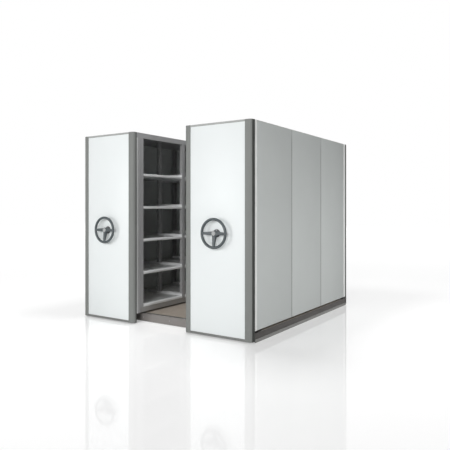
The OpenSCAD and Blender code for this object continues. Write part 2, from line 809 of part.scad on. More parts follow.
// Sprocket: a disc with tapered teeth and a seat for each roller, on a turned hub
module sprocket(teeth, r, pin_angle, hub, hub_l, bore) {
    tip = roller_r * 0.75;
    seat = roller_r + 0.3;
    rotate([90, 0, 0]) difference() {
        union() {
            translate([0, 0, -sprocket_t / 2]) linear_extrude(sprocket_t) difference() {
                circle(r = r + tip);
                for (i = [0 : teeth - 1]) rotate(pin_angle + i * 360 / teeth) translate([r, 0]) {
                    circle(r = seat);
                    polygon([[0, -seat], [tip + 1, -1.5 * seat], [tip + 1, 1.5 * seat], [0, seat]]);
                }
            }
            translate([0, 0, -hub_l / 2]) cylinder(h = hub_l, r = hub);
        }
        translate([0, 0, -hub_l / 2 - 1]) cylinder(h = hub_l + 2, r = bore);
        if (r > 3 * hub)
            for (i = [0 : 5]) rotate(i * 60) translate([(r - plate_r + hub) / 2, 0, -sprocket_t])
                cylinder(h = 2 * sprocket_t, r = (r - hub) * 0.24);
    }
}

module upper_sprocket() {
    color(dark_steel) translate([0, chain_y, hand_z])
        sprocket(teeth_up, up_r, up_pin_angle, up_r - plate_r - 2, hub_l_up, hand_shaft_r);
}

module lower_sprocket() {
    color(dark_steel) translate([row_x, chain_y, axle_z])
        sprocket(teeth_low, low_r, low_pin_angle, shaft_r + bush_wall, hub_l_low, shaft_r);
}

// Roller chain: inner links with their rollers, and outer links with the pins that join them
module plate_outline(l, hole) {
    difference() {
        union() {
            circle(r = plate_r, $fn = 24);
            translate([l, 0]) circle(r = plate_r, $fn = 24);
            translate([0, -plate_r * 0.72]) square([l, plate_r * 1.44]);
        }
        if (hole > 0) for (x = [0, l]) translate([x, 0]) circle(r = hole, $fn = 24);
    }
}

module inner_link(l) {
    hole = pin_r + 0.05;
    for (e = [0, 1]) mirror([0, 0, e]) translate([0, 0, plate_in])
        linear_extrude(plate_t) plate_outline(l, hole);
    for (x = [0, l]) translate([x, 0, -plate_in]) linear_extrude(2 * plate_in) difference() {
        circle(r = roller_r, $fn = 24);
        circle(r = hole, $fn = 24);
    }
}

module outer_link(l) {
    z = plate_in + plate_t + 0.2;
    for (e = [0, 1]) mirror([0, 0, e]) translate([0, 0, z]) linear_extrude(plate_t) plate_outline(l, 0);
    for (x = [0, l]) translate([x, 0, -z - 0.8]) cylinder(h = 2 * z + 1.6, r = pin_r, $fn = 24);
}

module chain() {
    color(steel) translate([0, chain_y, hand_z]) rotate([90, 0, 0])
        for (i = [0 : link_count - 1]) {
            d = pins[i + 1] - pins[i];
            translate(pins[i]) rotate(atan2(d[1], d[0]))
                if (i % 2 == 0) inner_link(norm(d));
                else outer_link(norm(d));
        }
}

module drive_shaft() {
    color(steel) rod_y(row_x, axle_z, shaft_y0, shaft_y1, shaft_r - 0.01);
}

// Running wheels: plain treads on the outer rails, flanged on the guide rail
module wheel_section(bore, flanged) {
    hub = bore + bush_wall;
    hub_l = tread_w + 14;
    web = tread_w * 0.4;
    tread = flanged ? guide_w + 3 : tread_w;
    rim = 8;
    translate([bore, -hub_l / 2]) square([hub - bore, hub_l]);
    translate([bore, -web / 2]) square([wheel_r - bore - 1, web]);
    translate([wheel_r - rim, -tread / 2]) square([rim, tread]);
    if (flanged) for (e = [0, 1]) mirror([0, e])
        polygon([[wheel_r - rim, tread / 2], [wheel_r, tread / 2], [flange_r, tread / 2 + 1.5],
            [flange_r, tread / 2 + 5], [wheel_r - rim, tread / 2 + 5]]);
}

module running_wheels(x, bore) {
    for (y = rail_ys) turned_y(x, y, axle_z) wheel_section(bore, y == guide_y);
}

module drive_wheels() { color(steel) running_wheels(row_x, shaft_r); }
module idler_wheels() { color(steel) running_wheels(-row_x, idler_r + run_gap); }

platform_frame();
rails();
deck_boards();
fascia();
floor_skirts();
end_stops();
stop_pads();
levelling_feet();

carriage(-1) base_frame();  // left_base_frame
carriage(-1) shaft_bearings();  // left_shaft_bearings
carriage(-1) idler_axles();  // left_idler_axles
carriage(-1) tilt_guard();  // left_tilt_guard
carriage(-1) uprights();  // left_uprights
carriage(-1) shelf_brackets();  // left_shelf_brackets
carriage(-1) shelves();  // left_shelves
carriage(-1) liners();  // left_liners
carriage(-1) top_cover();  // left_top_cover
carriage(-1) side_panels();  // left_side_panels
carriage(-1) edge_strips();  // left_edge_strips
carriage(-1) corner_posts();  // left_corner_posts
carriage(-1) seal_strips();  // left_seal_strips
carriage(-1) end_panels();  // left_end_panels
carriage(-1) panel_trims();  // left_panel_trims
carriage(-1) drive_bracket();  // left_drive_bracket
carriage(-1) hub_bearing();  // left_hub_bearing
carriage(-1) handwheel();  // left_handwheel
carriage(-1) hub_cap();  // left_hub_cap
carriage(-1) wheel_shaft();  // left_wheel_shaft
carriage(-1) upper_sprocket();  // left_upper_sprocket
carriage(-1) chain();  // left_chain
carriage(-1) drive_shaft();  // left_drive_shaft
carriage(-1) lower_sprocket();  // left_lower_sprocket
carriage(-1) drive_wheels();  // left_drive_wheels
carriage(-1) idler_wheels();  // left_idler_wheels

carriage(1) base_frame();  // right_base_frame
carriage(1) shaft_bearings();  // right_shaft_bearings
carriage(1) idler_axles();  // right_idler_axles
carriage(1) tilt_guard();  // right_tilt_guard
carriage(1) uprights();  // right_uprights
carriage(1) shelf_brackets();  // right_shelf_brackets
carriage(1) shelves();  // right_shelves
carriage(1) liners();  // right_liners
carriage(1) top_cover();  // right_top_cover
carriage(1) side_panels();  // right_side_panels
carriage(1) edge_strips();  // right_edge_strips
carriage(1) corner_posts();  // right_corner_posts
carriage(1) seal_strips();  // right_seal_strips
carriage(1) end_panels();  // right_end_panels
carriage(1) panel_trims();  // right_panel_trims
carriage(1) drive_bracket();  // right_drive_bracket
carriage(1) hub_bearing();  // right_hub_bearing
carriage(1) handwheel();  // right_handwheel
carriage(1) hub_cap();  // right_hub_cap
carriage(1) wheel_shaft();  // right_wheel_shaft
carriage(1) upper_sprocket();  // right_upper_sprocket
carriage(1) chain();  // right_chain
carriage(1) drive_shaft();  // right_drive_shaft
carriage(1) lower_sprocket();  // right_lower_sprocket
carriage(1) drive_wheels();  // right_drive_wheels
carriage(1) idler_wheels();  // right_idler_wheels
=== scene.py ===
import math

import bmesh
import bpy
from mathutils import Matrix, Vector


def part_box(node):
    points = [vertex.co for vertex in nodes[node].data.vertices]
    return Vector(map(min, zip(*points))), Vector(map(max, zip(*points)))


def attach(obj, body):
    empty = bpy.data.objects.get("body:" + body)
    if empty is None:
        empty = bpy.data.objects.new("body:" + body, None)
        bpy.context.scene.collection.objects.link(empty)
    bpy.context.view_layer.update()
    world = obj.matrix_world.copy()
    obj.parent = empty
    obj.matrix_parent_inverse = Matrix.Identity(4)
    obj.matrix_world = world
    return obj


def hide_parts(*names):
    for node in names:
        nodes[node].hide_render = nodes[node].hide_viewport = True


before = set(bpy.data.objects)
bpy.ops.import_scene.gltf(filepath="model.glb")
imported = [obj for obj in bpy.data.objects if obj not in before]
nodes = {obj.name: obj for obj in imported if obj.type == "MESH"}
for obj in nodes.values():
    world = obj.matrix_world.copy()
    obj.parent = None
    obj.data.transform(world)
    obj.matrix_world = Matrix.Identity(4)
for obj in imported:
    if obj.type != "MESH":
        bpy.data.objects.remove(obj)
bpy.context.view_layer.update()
sides = {"left": -1, "right": 1}     # each carriage, and the way its closed side looks along X
print("frame loaded:", len(nodes), "nodes")

scene = bpy.context.scene
scene.view_settings.view_transform = "Standard"


# Camera, at the photograph's place
cameraView = {
    "place": (3.7105, -5.4764, 1.2937),
    "azimuth": 33.726,     # degrees, turned left of straight on
    "lens": 41.646,        # mm
    "sensor": 36,          # mm across
    "frame": 450,          # pixels, square
    "horizon": 208.31,     # pixels below the frame's top
}


def makeCamera(view):
    data = bpy.data.cameras.new("camera")
    data.sensor_width = view["sensor"]
    data.lens = view["lens"]
    data.shift_y = (view["horizon"] - view["frame"] / 2) / view["frame"]
    camera = bpy.data.objects.new("camera", data)
    camera.location = view["place"]
    camera.rotation_euler = (math.radians(90), 0, math.radians(view["azimuth"]))
    scene.collection.objects.link(camera)
    scene.camera = camera


makeCamera(cameraView)


# Small helpers for node trees
def addNode(tree, kind, settings=None, inputs=None):
    node = tree.nodes.new(kind)
    for name, value in (settings or {}).items():
        setattr(node, name, value)
    for name, value in (inputs or {}).items():
        if isinstance(value, bpy.types.NodeSocket):
            tree.links.new(value, node.inputs[name])
        else:
            node.inputs[name].default_value = value
    return node


def feed(tree, node, values):
    for name, value in values.items():
        tree.links.new(value, node.inputs[name])


def newSocket(tree, name, kind, direction="INPUT", value=None):
    socket = tree.interface.new_socket(name=name, in_out=direction, socket_type=kind)
    if value is not None:
        socket.default_value = value


def calc(tree, operation, first, second=0.5):
    return addNode(tree, "ShaderNodeMath", {"operation": operation}, {0: first, 1: second}).outputs[0]


def times(tree, first, second):
    return calc(tree, "MULTIPLY", first, second)


def plus(tree, first, second):
    return calc(tree, "ADD", first, second)


def vectorCalc(tree, operation, first, second):
    return addNode(tree, "ShaderNodeVectorMath", {"operation": operation}, {0: first, 1: second}).outputs[0]


def combined(tree, x=0.0, y=0.0, z=0.0):
    return addNode(tree, "ShaderNodeCombineXYZ", inputs={"X": x, "Y": y, "Z": z}).outputs[0]


def alongAxis(tree, vector, axis):
    return addNode(tree, "ShaderNodeSeparateXYZ", inputs={"Vector": vector}).outputs[axis]


def objectPoint(tree):
    return addNode(tree, "ShaderNodeTexCoord").outputs["Object"]


def surfaceNormal(tree):
    return addNode(tree, "ShaderNodeNewGeometry").outputs["Normal"]


def stretched(tree, point, scale):
    return addNode(tree, "ShaderNodeMapping", inputs={"Vector": point, "Scale": scale}).outputs["Vector"]


def noise(tree, point, scale, detail=3.0, roughness=0.5):
    values = {"Vector": point, "Scale": scale, "Detail": detail, "Roughness": roughness}
    return addNode(tree, "ShaderNodeTexNoise", inputs=values).outputs["Fac"]


def span(tree, value, fromLow, fromHigh, toLow=0.0, toHigh=1.0):
    values = {"Value": value, "From Min": fromLow, "From Max": fromHigh, "To Min": toLow, "To Max": toHigh}
    return addNode(tree, "ShaderNodeMapRange", inputs=values).outputs["Result"]


def blendColour(tree, amount, first, second, mode="MIX"):
    # Factor, A and B are reached by index, because a Mix node has one set of them for each kind of data
    return addNode(tree, "ShaderNodeMix", {"data_type": "RGBA", "blend_type": mode},
                   {0: amount, 6: first, 7: second}).outputs[2]


def opaque(colour, factor=1.0):
    return (*[channel * factor for channel in colour], 1)


# Effects that several finishes share
def shaderGroup(name, inputs, outputs):
    tree = bpy.data.node_groups.new(name, "ShaderNodeTree")
    for key, value in inputs.items():
        newSocket(tree, key, "NodeSocketFloat", value=value)
    for key in outputs:
        newSocket(tree, key, "NodeSocketFloat", "OUTPUT")
    return tree, addNode(tree, "NodeGroupInput").outputs, addNode(tree, "NodeGroupOutput")


def makeCoatSkin():
    # Powder coat: the peel of the cured film, and a slow drift of tone and gloss over the sheet
    tree, given, out = shaderGroup("coatSkin", {"Peel Scale": 420.0, "Drift": 0.03, "Gloss Drift": 0.06},
                                   ("Height", "Tone", "Gloss"))
    point = objectPoint(tree)
    peel = noise(tree, point, given["Peel Scale"], detail=2.0)
    slow = noise(tree, point, scale=1.7, detail=4.0, roughness=0.6)
    smear = noise(tree, stretched(tree, point, (6.0, 6.0, 1.4)), scale=1.0, detail=5.0, roughness=0.65)
    tone = times(tree, calc(tree, "SUBTRACT", slow, 0.5), given["Drift"])
    gloss = times(tree, calc(tree, "SUBTRACT", smear, 0.5), given["Gloss Drift"])
    feed(tree, out, {"Height": peel, "Tone": plus(tree, tone, 1.0), "Gloss": gloss})
    return tree


def makeDustFall():
    # Dust lies on what faces up, and thins out with height above the floor
    tree, given, out = shaderGroup("dustFall", {"Amount": 0.3, "Reach": 0.35}, ("Mask",))
    point = objectPoint(tree)
    up = span(tree, alongAxis(tree, surfaceNormal(tree), "Z"), 0.3, 1.0)
    low = span(tree, alongAxis(tree, point, "Z"), given["Reach"], 0.0)
    patch = span(tree, noise(tree, point, scale=9.0, detail=6.0, roughness=0.65), 0.35, 0.75)
    lying = times(tree, calc(tree, "MAXIMUM", up, times(tree, low, 0.5)), patch)
    feed(tree, out, {"Mask": times(tree, lying, given["Amount"])})
    return tree


def makeDrawnGrain():
    # Fine lines left by drawing, rolling or brushing, running along one axis of the part
    inputs = {"Along X": 1.0, "Along Y": 1.0, "Along Z": 1.0, "Fineness": 300.0}
    tree, given, out = shaderGroup("drawnGrain", inputs, ("Line", "Height"))
    axes = combined(tree, given["Along X"], given["Along Y"], given["Along Z"])
    scaled = vectorCalc(tree, "MULTIPLY", objectPoint(tree), axes)
    fine = noise(tree, scaled, given["Fineness"], detail=4.0, roughness=0.7)
    broad = noise(tree, scaled, scale=24.0)
    feed(tree, out, {"Line": plus(tree, times(tree, fine, 0.6), times(tree, broad, 0.4)), "Height": fine})
    return tree


def makeRubMarks():
    # Short scratches and dull rubs where shoes, trolleys and hands touch
    tree, given, out = shaderGroup("rubMarks", {"Density": 0.5, "Length": 0.15}, ("Mask",))
    point = objectPoint(tree)
    swirl = addNode(tree, "ShaderNodeTexNoise", inputs={"Vector": point, "Scale": 3.0}).outputs["Color"]
    bent = vectorCalc(tree, "ADD", point, swirl)
    drawn = vectorCalc(tree, "MULTIPLY", bent, (60.0, 9.0, 60.0))
    lines = noise(tree, drawn, scale=1.6, detail=4.0, roughness=0.6)
    cut = span(tree, given["Density"], 0.0, 1.0, 0.78, 0.55)
    sharp = span(tree, lines, cut, plus(tree, cut, given["Length"]))
    patch = span(tree, noise(tree, point, scale=2.2), 0.4, 0.65)
    feed(tree, out, {"Mask": times(tree, sharp, patch)})
    return tree


coatSkin = makeCoatSkin()
dustFall = makeDustFall()
drawnGrain = makeDrawnGrain()
rubMarks = makeRubMarks()


def useGroup(tree, group, values):
    node = tree.nodes.new("ShaderNodeGroup")
    node.node_tree = group
    for key, value in values.items():
        node.inputs[key].default_value = value
    return node.outputs


def newMaterial(name, shader):
    material = bpy.data.materials.new(name)
    material.use_nodes = True
    bsdf = material.node_tree.nodes["Principled BSDF"]
    for key, value in shader.items():
        bsdf.inputs[key].default_value = value
    return material, material.node_tree, bsdf


def setBump(tree, bsdf, height, strength, distance):
    values = {"Height": height, "Strength": strength, "Distance": distance}
    feed(tree, bsdf, {"Normal": addNode(tree, "ShaderNodeBump", inputs=values).outputs["Normal"]})


# What lies on the finishes and wears them
dustLook = {"colour": (0.52, 0.50, 0.46, 1), "dulling": 0.3}
rubLook = {"fade": 0.72, "cover": 0.5, "dulling": 0.15}
oilLook = {"colour": (0.03, 0.024, 0.018, 1), "scale": 35.0, "gloss": 0.1}
sideShadeTurn = (0.5, 0.8)      # how far a face is turned sideways where the painted shade on it starts and is full
crestHeight = (2.0, 2.1)    # metres above the floor where the crest's tone starts and is full


def coated(name, colour, roughness=0.4, peel=420.0, drift=0.05, dust=0.12, reach=0.3, bump=0.12, rubs=0.0,
           sheen=0.45, sideShade=0.0, crest=0.0):
    # A powder-coated sheet or tube; faces turned sideways along X are given painted shade, a darker copy of
    # its colour, and crest scales the colour at its top
    material, tree, bsdf = newMaterial(name, {"Specular IOR Level": sheen})
    skin = useGroup(tree, coatSkin, {"Peel Scale": peel, "Drift": drift})
    tone = combined(tree, skin["Tone"], skin["Tone"], skin["Tone"])
    shade = blendColour(tree, 1.0, opaque(colour), tone, "MULTIPLY")
    # Painted shade: the colour on faces turned sideways is scaled down, as if they were less lit
    if sideShade:
        sideways = calc(tree, "ABSOLUTE", alongAxis(tree, surfaceNormal(tree), "X"))
        shade = blendColour(tree, span(tree, sideways, *sideShadeTurn), shade, opaque(colour, sideShade))
    if crest:
        height = alongAxis(tree, objectPoint(tree), "Z")
        shade = blendColour(tree, span(tree, height, *crestHeight), shade, opaque(colour, crest))
    fallen = useGroup(tree, dustFall, {"Amount": dust, "Reach": reach})["Mask"]
    shade = blendColour(tree, fallen, shade, dustLook["colour"])
    rough = plus(tree, skin["Gloss"], roughness)
    if rubs:
        mark = useGroup(tree, rubMarks, {"Density": rubs})["Mask"]
        faded = blendColour(tree, 1.0, opaque(colour, rubLook["fade"]), tone, "MULTIPLY")
        shade = blendColour(tree, times(tree, mark, rubLook["cover"]), shade, faded)
        rough = plus(tree, rough, times(tree, mark, rubLook["dulling"]))
    rough = plus(tree, rough, times(tree, fallen, dustLook["dulling"]))
    feed(tree, bsdf, {"Base Color": shade, "Roughness": rough})
    setBump(tree, bsdf, skin["Height"], bump, distance=0.0004)
    return material


def drawnMetal(name, colour, roughness, along=(1.0, 1.0, 1.0), fineness=300.0, contrast=0.25, oil=0.0):
    # Bare steel with its working lines, dulled by oil where it runs in it
    material, tree, bsdf = newMaterial(name, {"Metallic": 1.0})
    grain = useGroup(tree, drawnGrain, {"Along X": along[0], "Along Y": along[1], "Along Z": along[2],
                                        "Fineness": fineness})
    line = span(tree, grain["Line"], 0.3, 0.7)
    shade = blendColour(tree, line, opaque(colour, 1 - contrast), opaque(colour))
    rough = span(tree, grain["Line"], 0.3, 0.7, roughness + 0.08, roughness - 0.04)
    if oil:
        blots = noise(tree, objectPoint(tree), oilLook["scale"], detail=4.0, roughness=0.6)
        film = span(tree, blots, 0.4, 0.65)
        shade = blendColour(tree, times(tree, film, oil), shade, oilLook["colour"])
        rough = calc(tree, "SUBTRACT", rough, times(tree, film, oilLook["gloss"]))
    feed(tree, bsdf, {"Base Color": shade, "Roughness": rough})
    setBump(tree, bsdf, grain["Height"], strength=0.15, distance=0.0003)
    return material


def castMetal(name, colour, roughness=0.55, grit=260.0, worn=1.35):
    # Enamelled casting: the sand's grit shows through the paint, which is paler where it has worn
    material, tree, bsdf = newMaterial(name, {"Specular IOR Level": 0.5})
    point = objectPoint(tree)
    sand = noise(tree, point, grit, detail=5.0, roughness=0.65)
    patch = span(tree, noise(tree, point, scale=14.0, detail=4.0), 0.3, 0.75)
    feed(tree, bsdf, {"Base Color": blendColour(tree, patch, opaque(colour), opaque(colour, worn)),
                      "Roughness": span(tree, sand, 0.2, 0.8, roughness - 0.1, roughness + 0.15)})
    setBump(tree, bsdf, sand, strength=0.35, distance=0.0008)
    return material


def grainedPlastic(name, colour, roughness=0.38, grain=900.0, soiled=0.85, polish=0.08):
    # Moulded plastic with a fine eroded skin, darker and polished where hands turn it
    material, tree, bsdf = newMaterial(name, {"Specular IOR Level": 0.5})
    point = objectPoint(tree)
    pores = addNode(tree, "ShaderNodeTexVoronoi", inputs={"Vector": point, "Scale": grain})
    handled = span(tree, noise(tree, point, scale=12.0), 0.35, 0.7)
    feed(tree, bsdf, {"Base Color": blendColour(tree, handled, opaque(colour), opaque(colour, soiled)),
                      "Roughness": span(tree, handled, 0.0, 1.0, roughness + polish, roughness - polish)})
    setBump(tree, bsdf, pores.outputs["Distance"], strength=0.12, distance=0.0004)
    return material


def bloomedRubber(name, fresh, bloomed):
    # Moulded rubber, greyed in upright streaks
    material, tree, bsdf = newMaterial(name, {"Specular IOR Level": 0.3})
    streaks = noise(tree, stretched(tree, objectPoint(tree), (1.0, 1.0, 0.15)), scale=60.0, detail=4.0)
    bloom = span(tree, streaks, 0.4, 0.8)
    feed(tree, bsdf, {"Base Color": blendColour(tree, bloom, opaque(fresh), opaque(bloomed)),
                      "Roughness": span(tree, bloom, 0.0, 1.0, 0.62, 0.8)})
    setBump(tree, bsdf, bloom, strength=0.1, distance=0.0003)
    return material


def filmedBoard(name, film, fibre, scuff):
    # Film-faced board: a rolled film with a fine mesh print, scuffed by shoes
    material, tree, bsdf = newMaterial(name, {"Specular IOR Level": 0.4})
    point = objectPoint(tree)
    kind = {"wave_type": "BANDS", "bands_direction": "DIAGONAL"}
    threads = {"Scale": 90.0, "Distortion": 0.6}
    mirrored = stretched(tree, point, (-1.0, 1.0, 1.0))
    mesh = addNode(tree, "ShaderNodeTexWave", kind, threads | {"Vector": point, "Detail": 1.0})
    crossed = addNode(tree, "ShaderNodeTexWave", kind, threads | {"Vector": mirrored})
    strands = noise(tree, stretched(tree, point, (1.0, 12.0, 12.0)), scale=7.0, detail=6.0, roughness=0.6)
    shade = blendColour(tree, strands, opaque(film), opaque(fibre))
    mark = useGroup(tree, rubMarks, {"Density": 0.55, "Length": 0.1})["Mask"]
    shade = blendColour(tree, times(tree, mark, 0.45), shade, opaque(scuff))
    fallen = useGroup(tree, dustFall, {"Amount": 0.18, "Reach": 0.2})["Mask"]
    feed(tree, bsdf, {"Base Color": blendColour(tree, fallen, shade, dustLook["colour"]),
                      "Roughness": span(tree, strands, 0.3, 0.7, 0.42, 0.55)})
    printed = times(tree, mesh.outputs["Fac"], crossed.outputs["Fac"])
    setBump(tree, bsdf, printed, strength=0.12, distance=0.0004)
    return material


# Every finish, with what differs from its maker's own values
coats = {
    "frameCoat": dict(colour=(0.17, 0.165, 0.158), roughness=0.45, dust=0.3, reach=0.25),
    # The fascia's sides carry painted shade, at 0.36 of its colour, darker than its front
    "fasciaCoat": dict(colour=(0.235, 0.22, 0.21), roughness=0.42, dust=0.15, rubs=0.5, sheen=0.2,
                       sideShade=0.36),
    "skirtCoat": dict(colour=(0.235, 0.235, 0.228), roughness=0.45, dust=0.3, reach=0.12, rubs=0.6),
    "shelfCoat": dict(colour=(0.70, 0.71, 0.71), roughness=0.42, dust=0.1),
    "postCoat": dict(colour=(0.226, 0.234, 0.225), roughness=0.34, peel=700.0, dust=0.04, bump=0.08,
                     sheen=0.12),
    # A lighter copy of the posts' grey for the top cover and uprights: painted light that makes up for the
    # aisle's shade
    "coverCoat": dict(colour=(0.33, 0.33, 0.335), roughness=0.42, peel=700.0, dust=0.04, bump=0.08,
                      sheen=0.3),
    "baseCoat": dict(colour=(0.33, 0.325, 0.315), roughness=0.45, dust=0.2, reach=0.2),
    # The side panels: a greyer copy of the end panels' white, partly their own tone and partly painted shade
    # for their dimmer light
    "sideCoat": dict(colour=(0.575, 0.60, 0.59), roughness=0.5, drift=0.08, dust=0.08, reach=0.5, rubs=0.25,
                     sheen=0.03),
    "stripCoat": dict(colour=(0.92, 0.93, 0.91), roughness=0.38, dust=0.05),
    # A greyer copy of the strips' coat for the aisle strip, darkened with painted shade for the aisle
    "cheekCoat": dict(colour=(0.55, 0.56, 0.555), roughness=0.42, dust=0.05, sheen=0.3),
    "endCoat": dict(colour=(0.84, 0.875, 0.875), roughness=0.36, drift=0.03, dust=0.05, reach=0.4),
    "trimCoat": dict(colour=(0.18, 0.185, 0.18), dust=0.2, reach=0.1, crest=2.0),
}
metals = {
    "railSteel": dict(colour=(0.50, 0.49, 0.47), roughness=0.34, along=(0.02, 1.0, 1.0)),
    "zincPlate": dict(colour=(0.52, 0.53, 0.54), roughness=0.38, fineness=60.0, contrast=0.2),
    "turnedSteel": dict(colour=(0.55, 0.55, 0.55), roughness=0.25, fineness=500.0, contrast=0.2),
    "sprocketSteel": dict(colour=(0.24, 0.235, 0.23), roughness=0.4, fineness=220.0, contrast=0.3, oil=0.5),
    "chainSteel": dict(colour=(0.34, 0.32, 0.29), roughness=0.35, fineness=260.0, contrast=0.3, oil=0.7),
    "runningSteel": dict(colour=(0.45, 0.45, 0.44), roughness=0.28, fineness=400.0, oil=0.2),
}
castings = {"bearingCast": dict(colour=(0.10, 0.105, 0.11))}
plastics = {
    "plugPlastic": dict(colour=(0.10, 0.105, 0.10)),
    "wheelPlastic": dict(colour=(0.066, 0.082, 0.088)),
    "capPlastic": dict(colour=(0.42, 0.43, 0.43), roughness=0.3),
}
rubbers = {"sealRubber": dict(fresh=(0.042, 0.044, 0.041), bloomed=(0.075, 0.078, 0.073))}
boards = {"deckBoard": dict(film=(0.265, 0.225, 0.185), fibre=(0.335, 0.290, 0.245), scuff=(0.3, 0.28, 0.26))}

finishes = {}
for maker, looks in ((coated, coats), (drawnMetal, metals), (castMetal, castings), (grainedPlastic, plastics),
                     (bloomedRubber, rubbers), (filmedBoard, boards)):
    for finishName, look in looks.items():
        finishes[finishName] = maker(finishName, **look)

nodesIn = {
    "frameCoat": ("platform_frame", "end_stops", "drive_bracket"),
    "fasciaCoat": ("fascia",),
    "skirtCoat": ("floor_skirts",),
    "shelfCoat": ("shelf_brackets", "shelves", "liners"),
    "postCoat": ("corner_posts",),
    "coverCoat": ("uprights", "top_cover"),
    "baseCoat": ("base_frame",),
    "sideCoat": ("side_panels",),
    "stripCoat": ("edge_strips",),
    "endCoat": ("end_panels",),
    "trimCoat": ("panel_trims",),
    "railSteel": ("rails",),
    "zincPlate": ("levelling_feet", "tilt_guard"),
    "turnedSteel": ("idler_axles", "wheel_shaft", "drive_shaft"),
    "sprocketSteel": ("upper_sprocket", "lower_sprocket"),
    "chainSteel": ("chain",),
    "runningSteel": ("drive_wheels", "idler_wheels"),
    "bearingCast": ("shaft_bearings", "hub_bearing"),
    "wheelPlastic": ("handwheel",),
    "capPlastic": ("hub_cap",),
    "sealRubber": ("stop_pads", "seal_strips"),
    "deckBoard": ("deck_boards",),
}
finishOf = {node: finish for finish, names in nodesIn.items() for node in names}


def withoutSide(node):
    return node.split("_", 1)[1] if node.startswith(("left_", "right_")) else node


def giveFinish(obj, finish):
    obj.data.materials.clear()
    obj.data.materials.append(finishes[finish])


for nodeName, obj in nodes.items():
    giveFinish(obj, finishOf[withoutSide(nodeName)])
print("materials:", len(finishes))


# Geometry Nodes trees for what repeats
socketKinds = {int: "NodeSocketInt", float: "NodeSocketFloat", tuple: "NodeSocketVector"}


def geometryTree(name, inputs):
    tree = bpy.data.node_groups.new(name, "GeometryNodeTree")
    newSocket(tree, "Geometry", "NodeSocketGeometry")
    for key, value in inputs.items():
        newSocket(tree, key, socketKinds[type(value)], value=value)
    newSocket(tree, "Finish", "NodeSocketMaterial")
    newSocket(tree, "Geometry", "NodeSocketGeometry", "OUTPUT")
    return tree, addNode(tree, "NodeGroupInput").outputs


def placedOnPoints(tree, points, instance, rotation=(0, 0, 0)):
    return addNode(tree, "GeometryNodeInstanceOnPoints",
                   inputs={"Points": points, "Instance": instance, "Rotation": rotation}).outputs[0]


def lifted(tree, geometry, height):
    return addNode(tree, "GeometryNodeTransform",
                   inputs={"Geometry": geometry, "Translation": combined(tree, z=height)}).outputs[0]


def closeTree(tree, geometry, finish):
    real = addNode(tree, "GeometryNodeRealizeInstances", inputs={"Geometry": geometry})
    values = {"Geometry": real.outputs[0], "Material": finish}
    painted = addNode(tree, "GeometryNodeSetMaterial", inputs=values)
    feed(tree, addNode(tree, "NodeGroupOutput"), {"Geometry": painted.outputs[0]})
    return tree


def makeScrewTree(washerSides=20, recessDepth=0.6):
    # A head with a driving recess, on an optional washer, at every point of the mesh
    tree, given = geometryTree("screwHeads", {
        "Sides": 6, "Head Radius": 0.005, "Head Height": 0.003, "Taper": 0.9, "Recess": 0.5,
        "Washer Radius": 0.007, "Washer Height": 0.001, "Turn": (0, 0, 0), "Seed": 7})
    head = addNode(tree, "GeometryNodeMeshCone", inputs={
        "Vertices": given["Sides"], "Radius Bottom": given["Head Radius"],
        "Radius Top": times(tree, given["Head Radius"], given["Taper"]), "Depth": given["Head Height"]})
    inner = addNode(tree, "GeometryNodeExtrudeMesh", inputs={
        "Mesh": head.outputs["Mesh"], "Selection": head.outputs["Top"], "Offset Scale": 0.0})
    shrunk = addNode(tree, "GeometryNodeScaleElements", inputs={
        "Geometry": inner.outputs["Mesh"], "Selection": inner.outputs["Top"], "Scale": given["Recess"]})
    sunk = addNode(tree, "GeometryNodeExtrudeMesh", inputs={
        "Mesh": shrunk.outputs["Geometry"], "Selection": inner.outputs["Top"],
        "Offset Scale": times(tree, given["Head Height"], -recessDepth)})
    washer = addNode(tree, "GeometryNodeMeshCylinder", inputs={
        "Vertices": washerSides, "Radius": given["Washer Radius"], "Depth": given["Washer Height"]})
    halfWasher = times(tree, given["Washer Height"], 0.5)
    both = addNode(tree, "GeometryNodeJoinGeometry")
    tree.links.new(lifted(tree, sunk.outputs["Mesh"], given["Washer Height"]), both.inputs[0])
    tree.links.new(lifted(tree, washer.outputs["Mesh"], halfWasher), both.inputs[0])
    spin = addNode(tree, "FunctionNodeRandomValue", {"data_type": "FLOAT"}, {"Seed": given["Seed"]})
    spin.inputs[3].default_value = math.pi     # the most that a head is turned on its own axis
    spun = addNode(tree, "FunctionNodeEulerToRotation", inputs={"Euler": combined(tree, z=spin.outputs[1])})
    base = addNode(tree, "FunctionNodeEulerToRotation", inputs={"Euler": given["Turn"]})
    turned = addNode(tree, "FunctionNodeRotateRotation", {"rotation_space": "LOCAL"},
                     {"Rotation": base.outputs[0], "Rotate By": spun.outputs[0]})
    placed = placedOnPoints(tree, given["Geometry"], both.outputs[0], turned.outputs[0])
    return closeTree(tree, placed, given["Finish"])


def makeGridTree():
    # The mesh given, once in each bay along Y and on each level along Z
    tree, given = geometryTree("bayGrid", {"Bays": 3, "Bay Pitch": 0.79, "Levels": 5, "Level Pitch": 0.373})
    row = addNode(tree, "GeometryNodeMeshLine", inputs={
        "Count": given["Bays"], "Offset": combined(tree, y=given["Bay Pitch"])})
    column = addNode(tree, "GeometryNodeMeshLine", inputs={
        "Count": given["Levels"], "Offset": combined(tree, z=given["Level Pitch"])})
    grid = placedOnPoints(tree, row.outputs[0], column.outputs[0])
    points = addNode(tree, "GeometryNodeRealizeInstances", inputs={"Geometry": grid}).outputs[0]
    return closeTree(tree, placedOnPoints(tree, points, given["Geometry"]), given["Finish"])


screwTree = makeScrewTree()
gridTree = makeGridTree()


# Meshes and modifiers
def meshObject(name, mesh):
    obj = bpy.data.objects.new(name, mesh)
    scene.collection.objects.link(obj)
    return obj


def builtObject(name, bm):
    mesh = bpy.data.meshes.new(name)
    bm.to_mesh(mesh)
    bm.free()
    return meshObject(name, mesh)


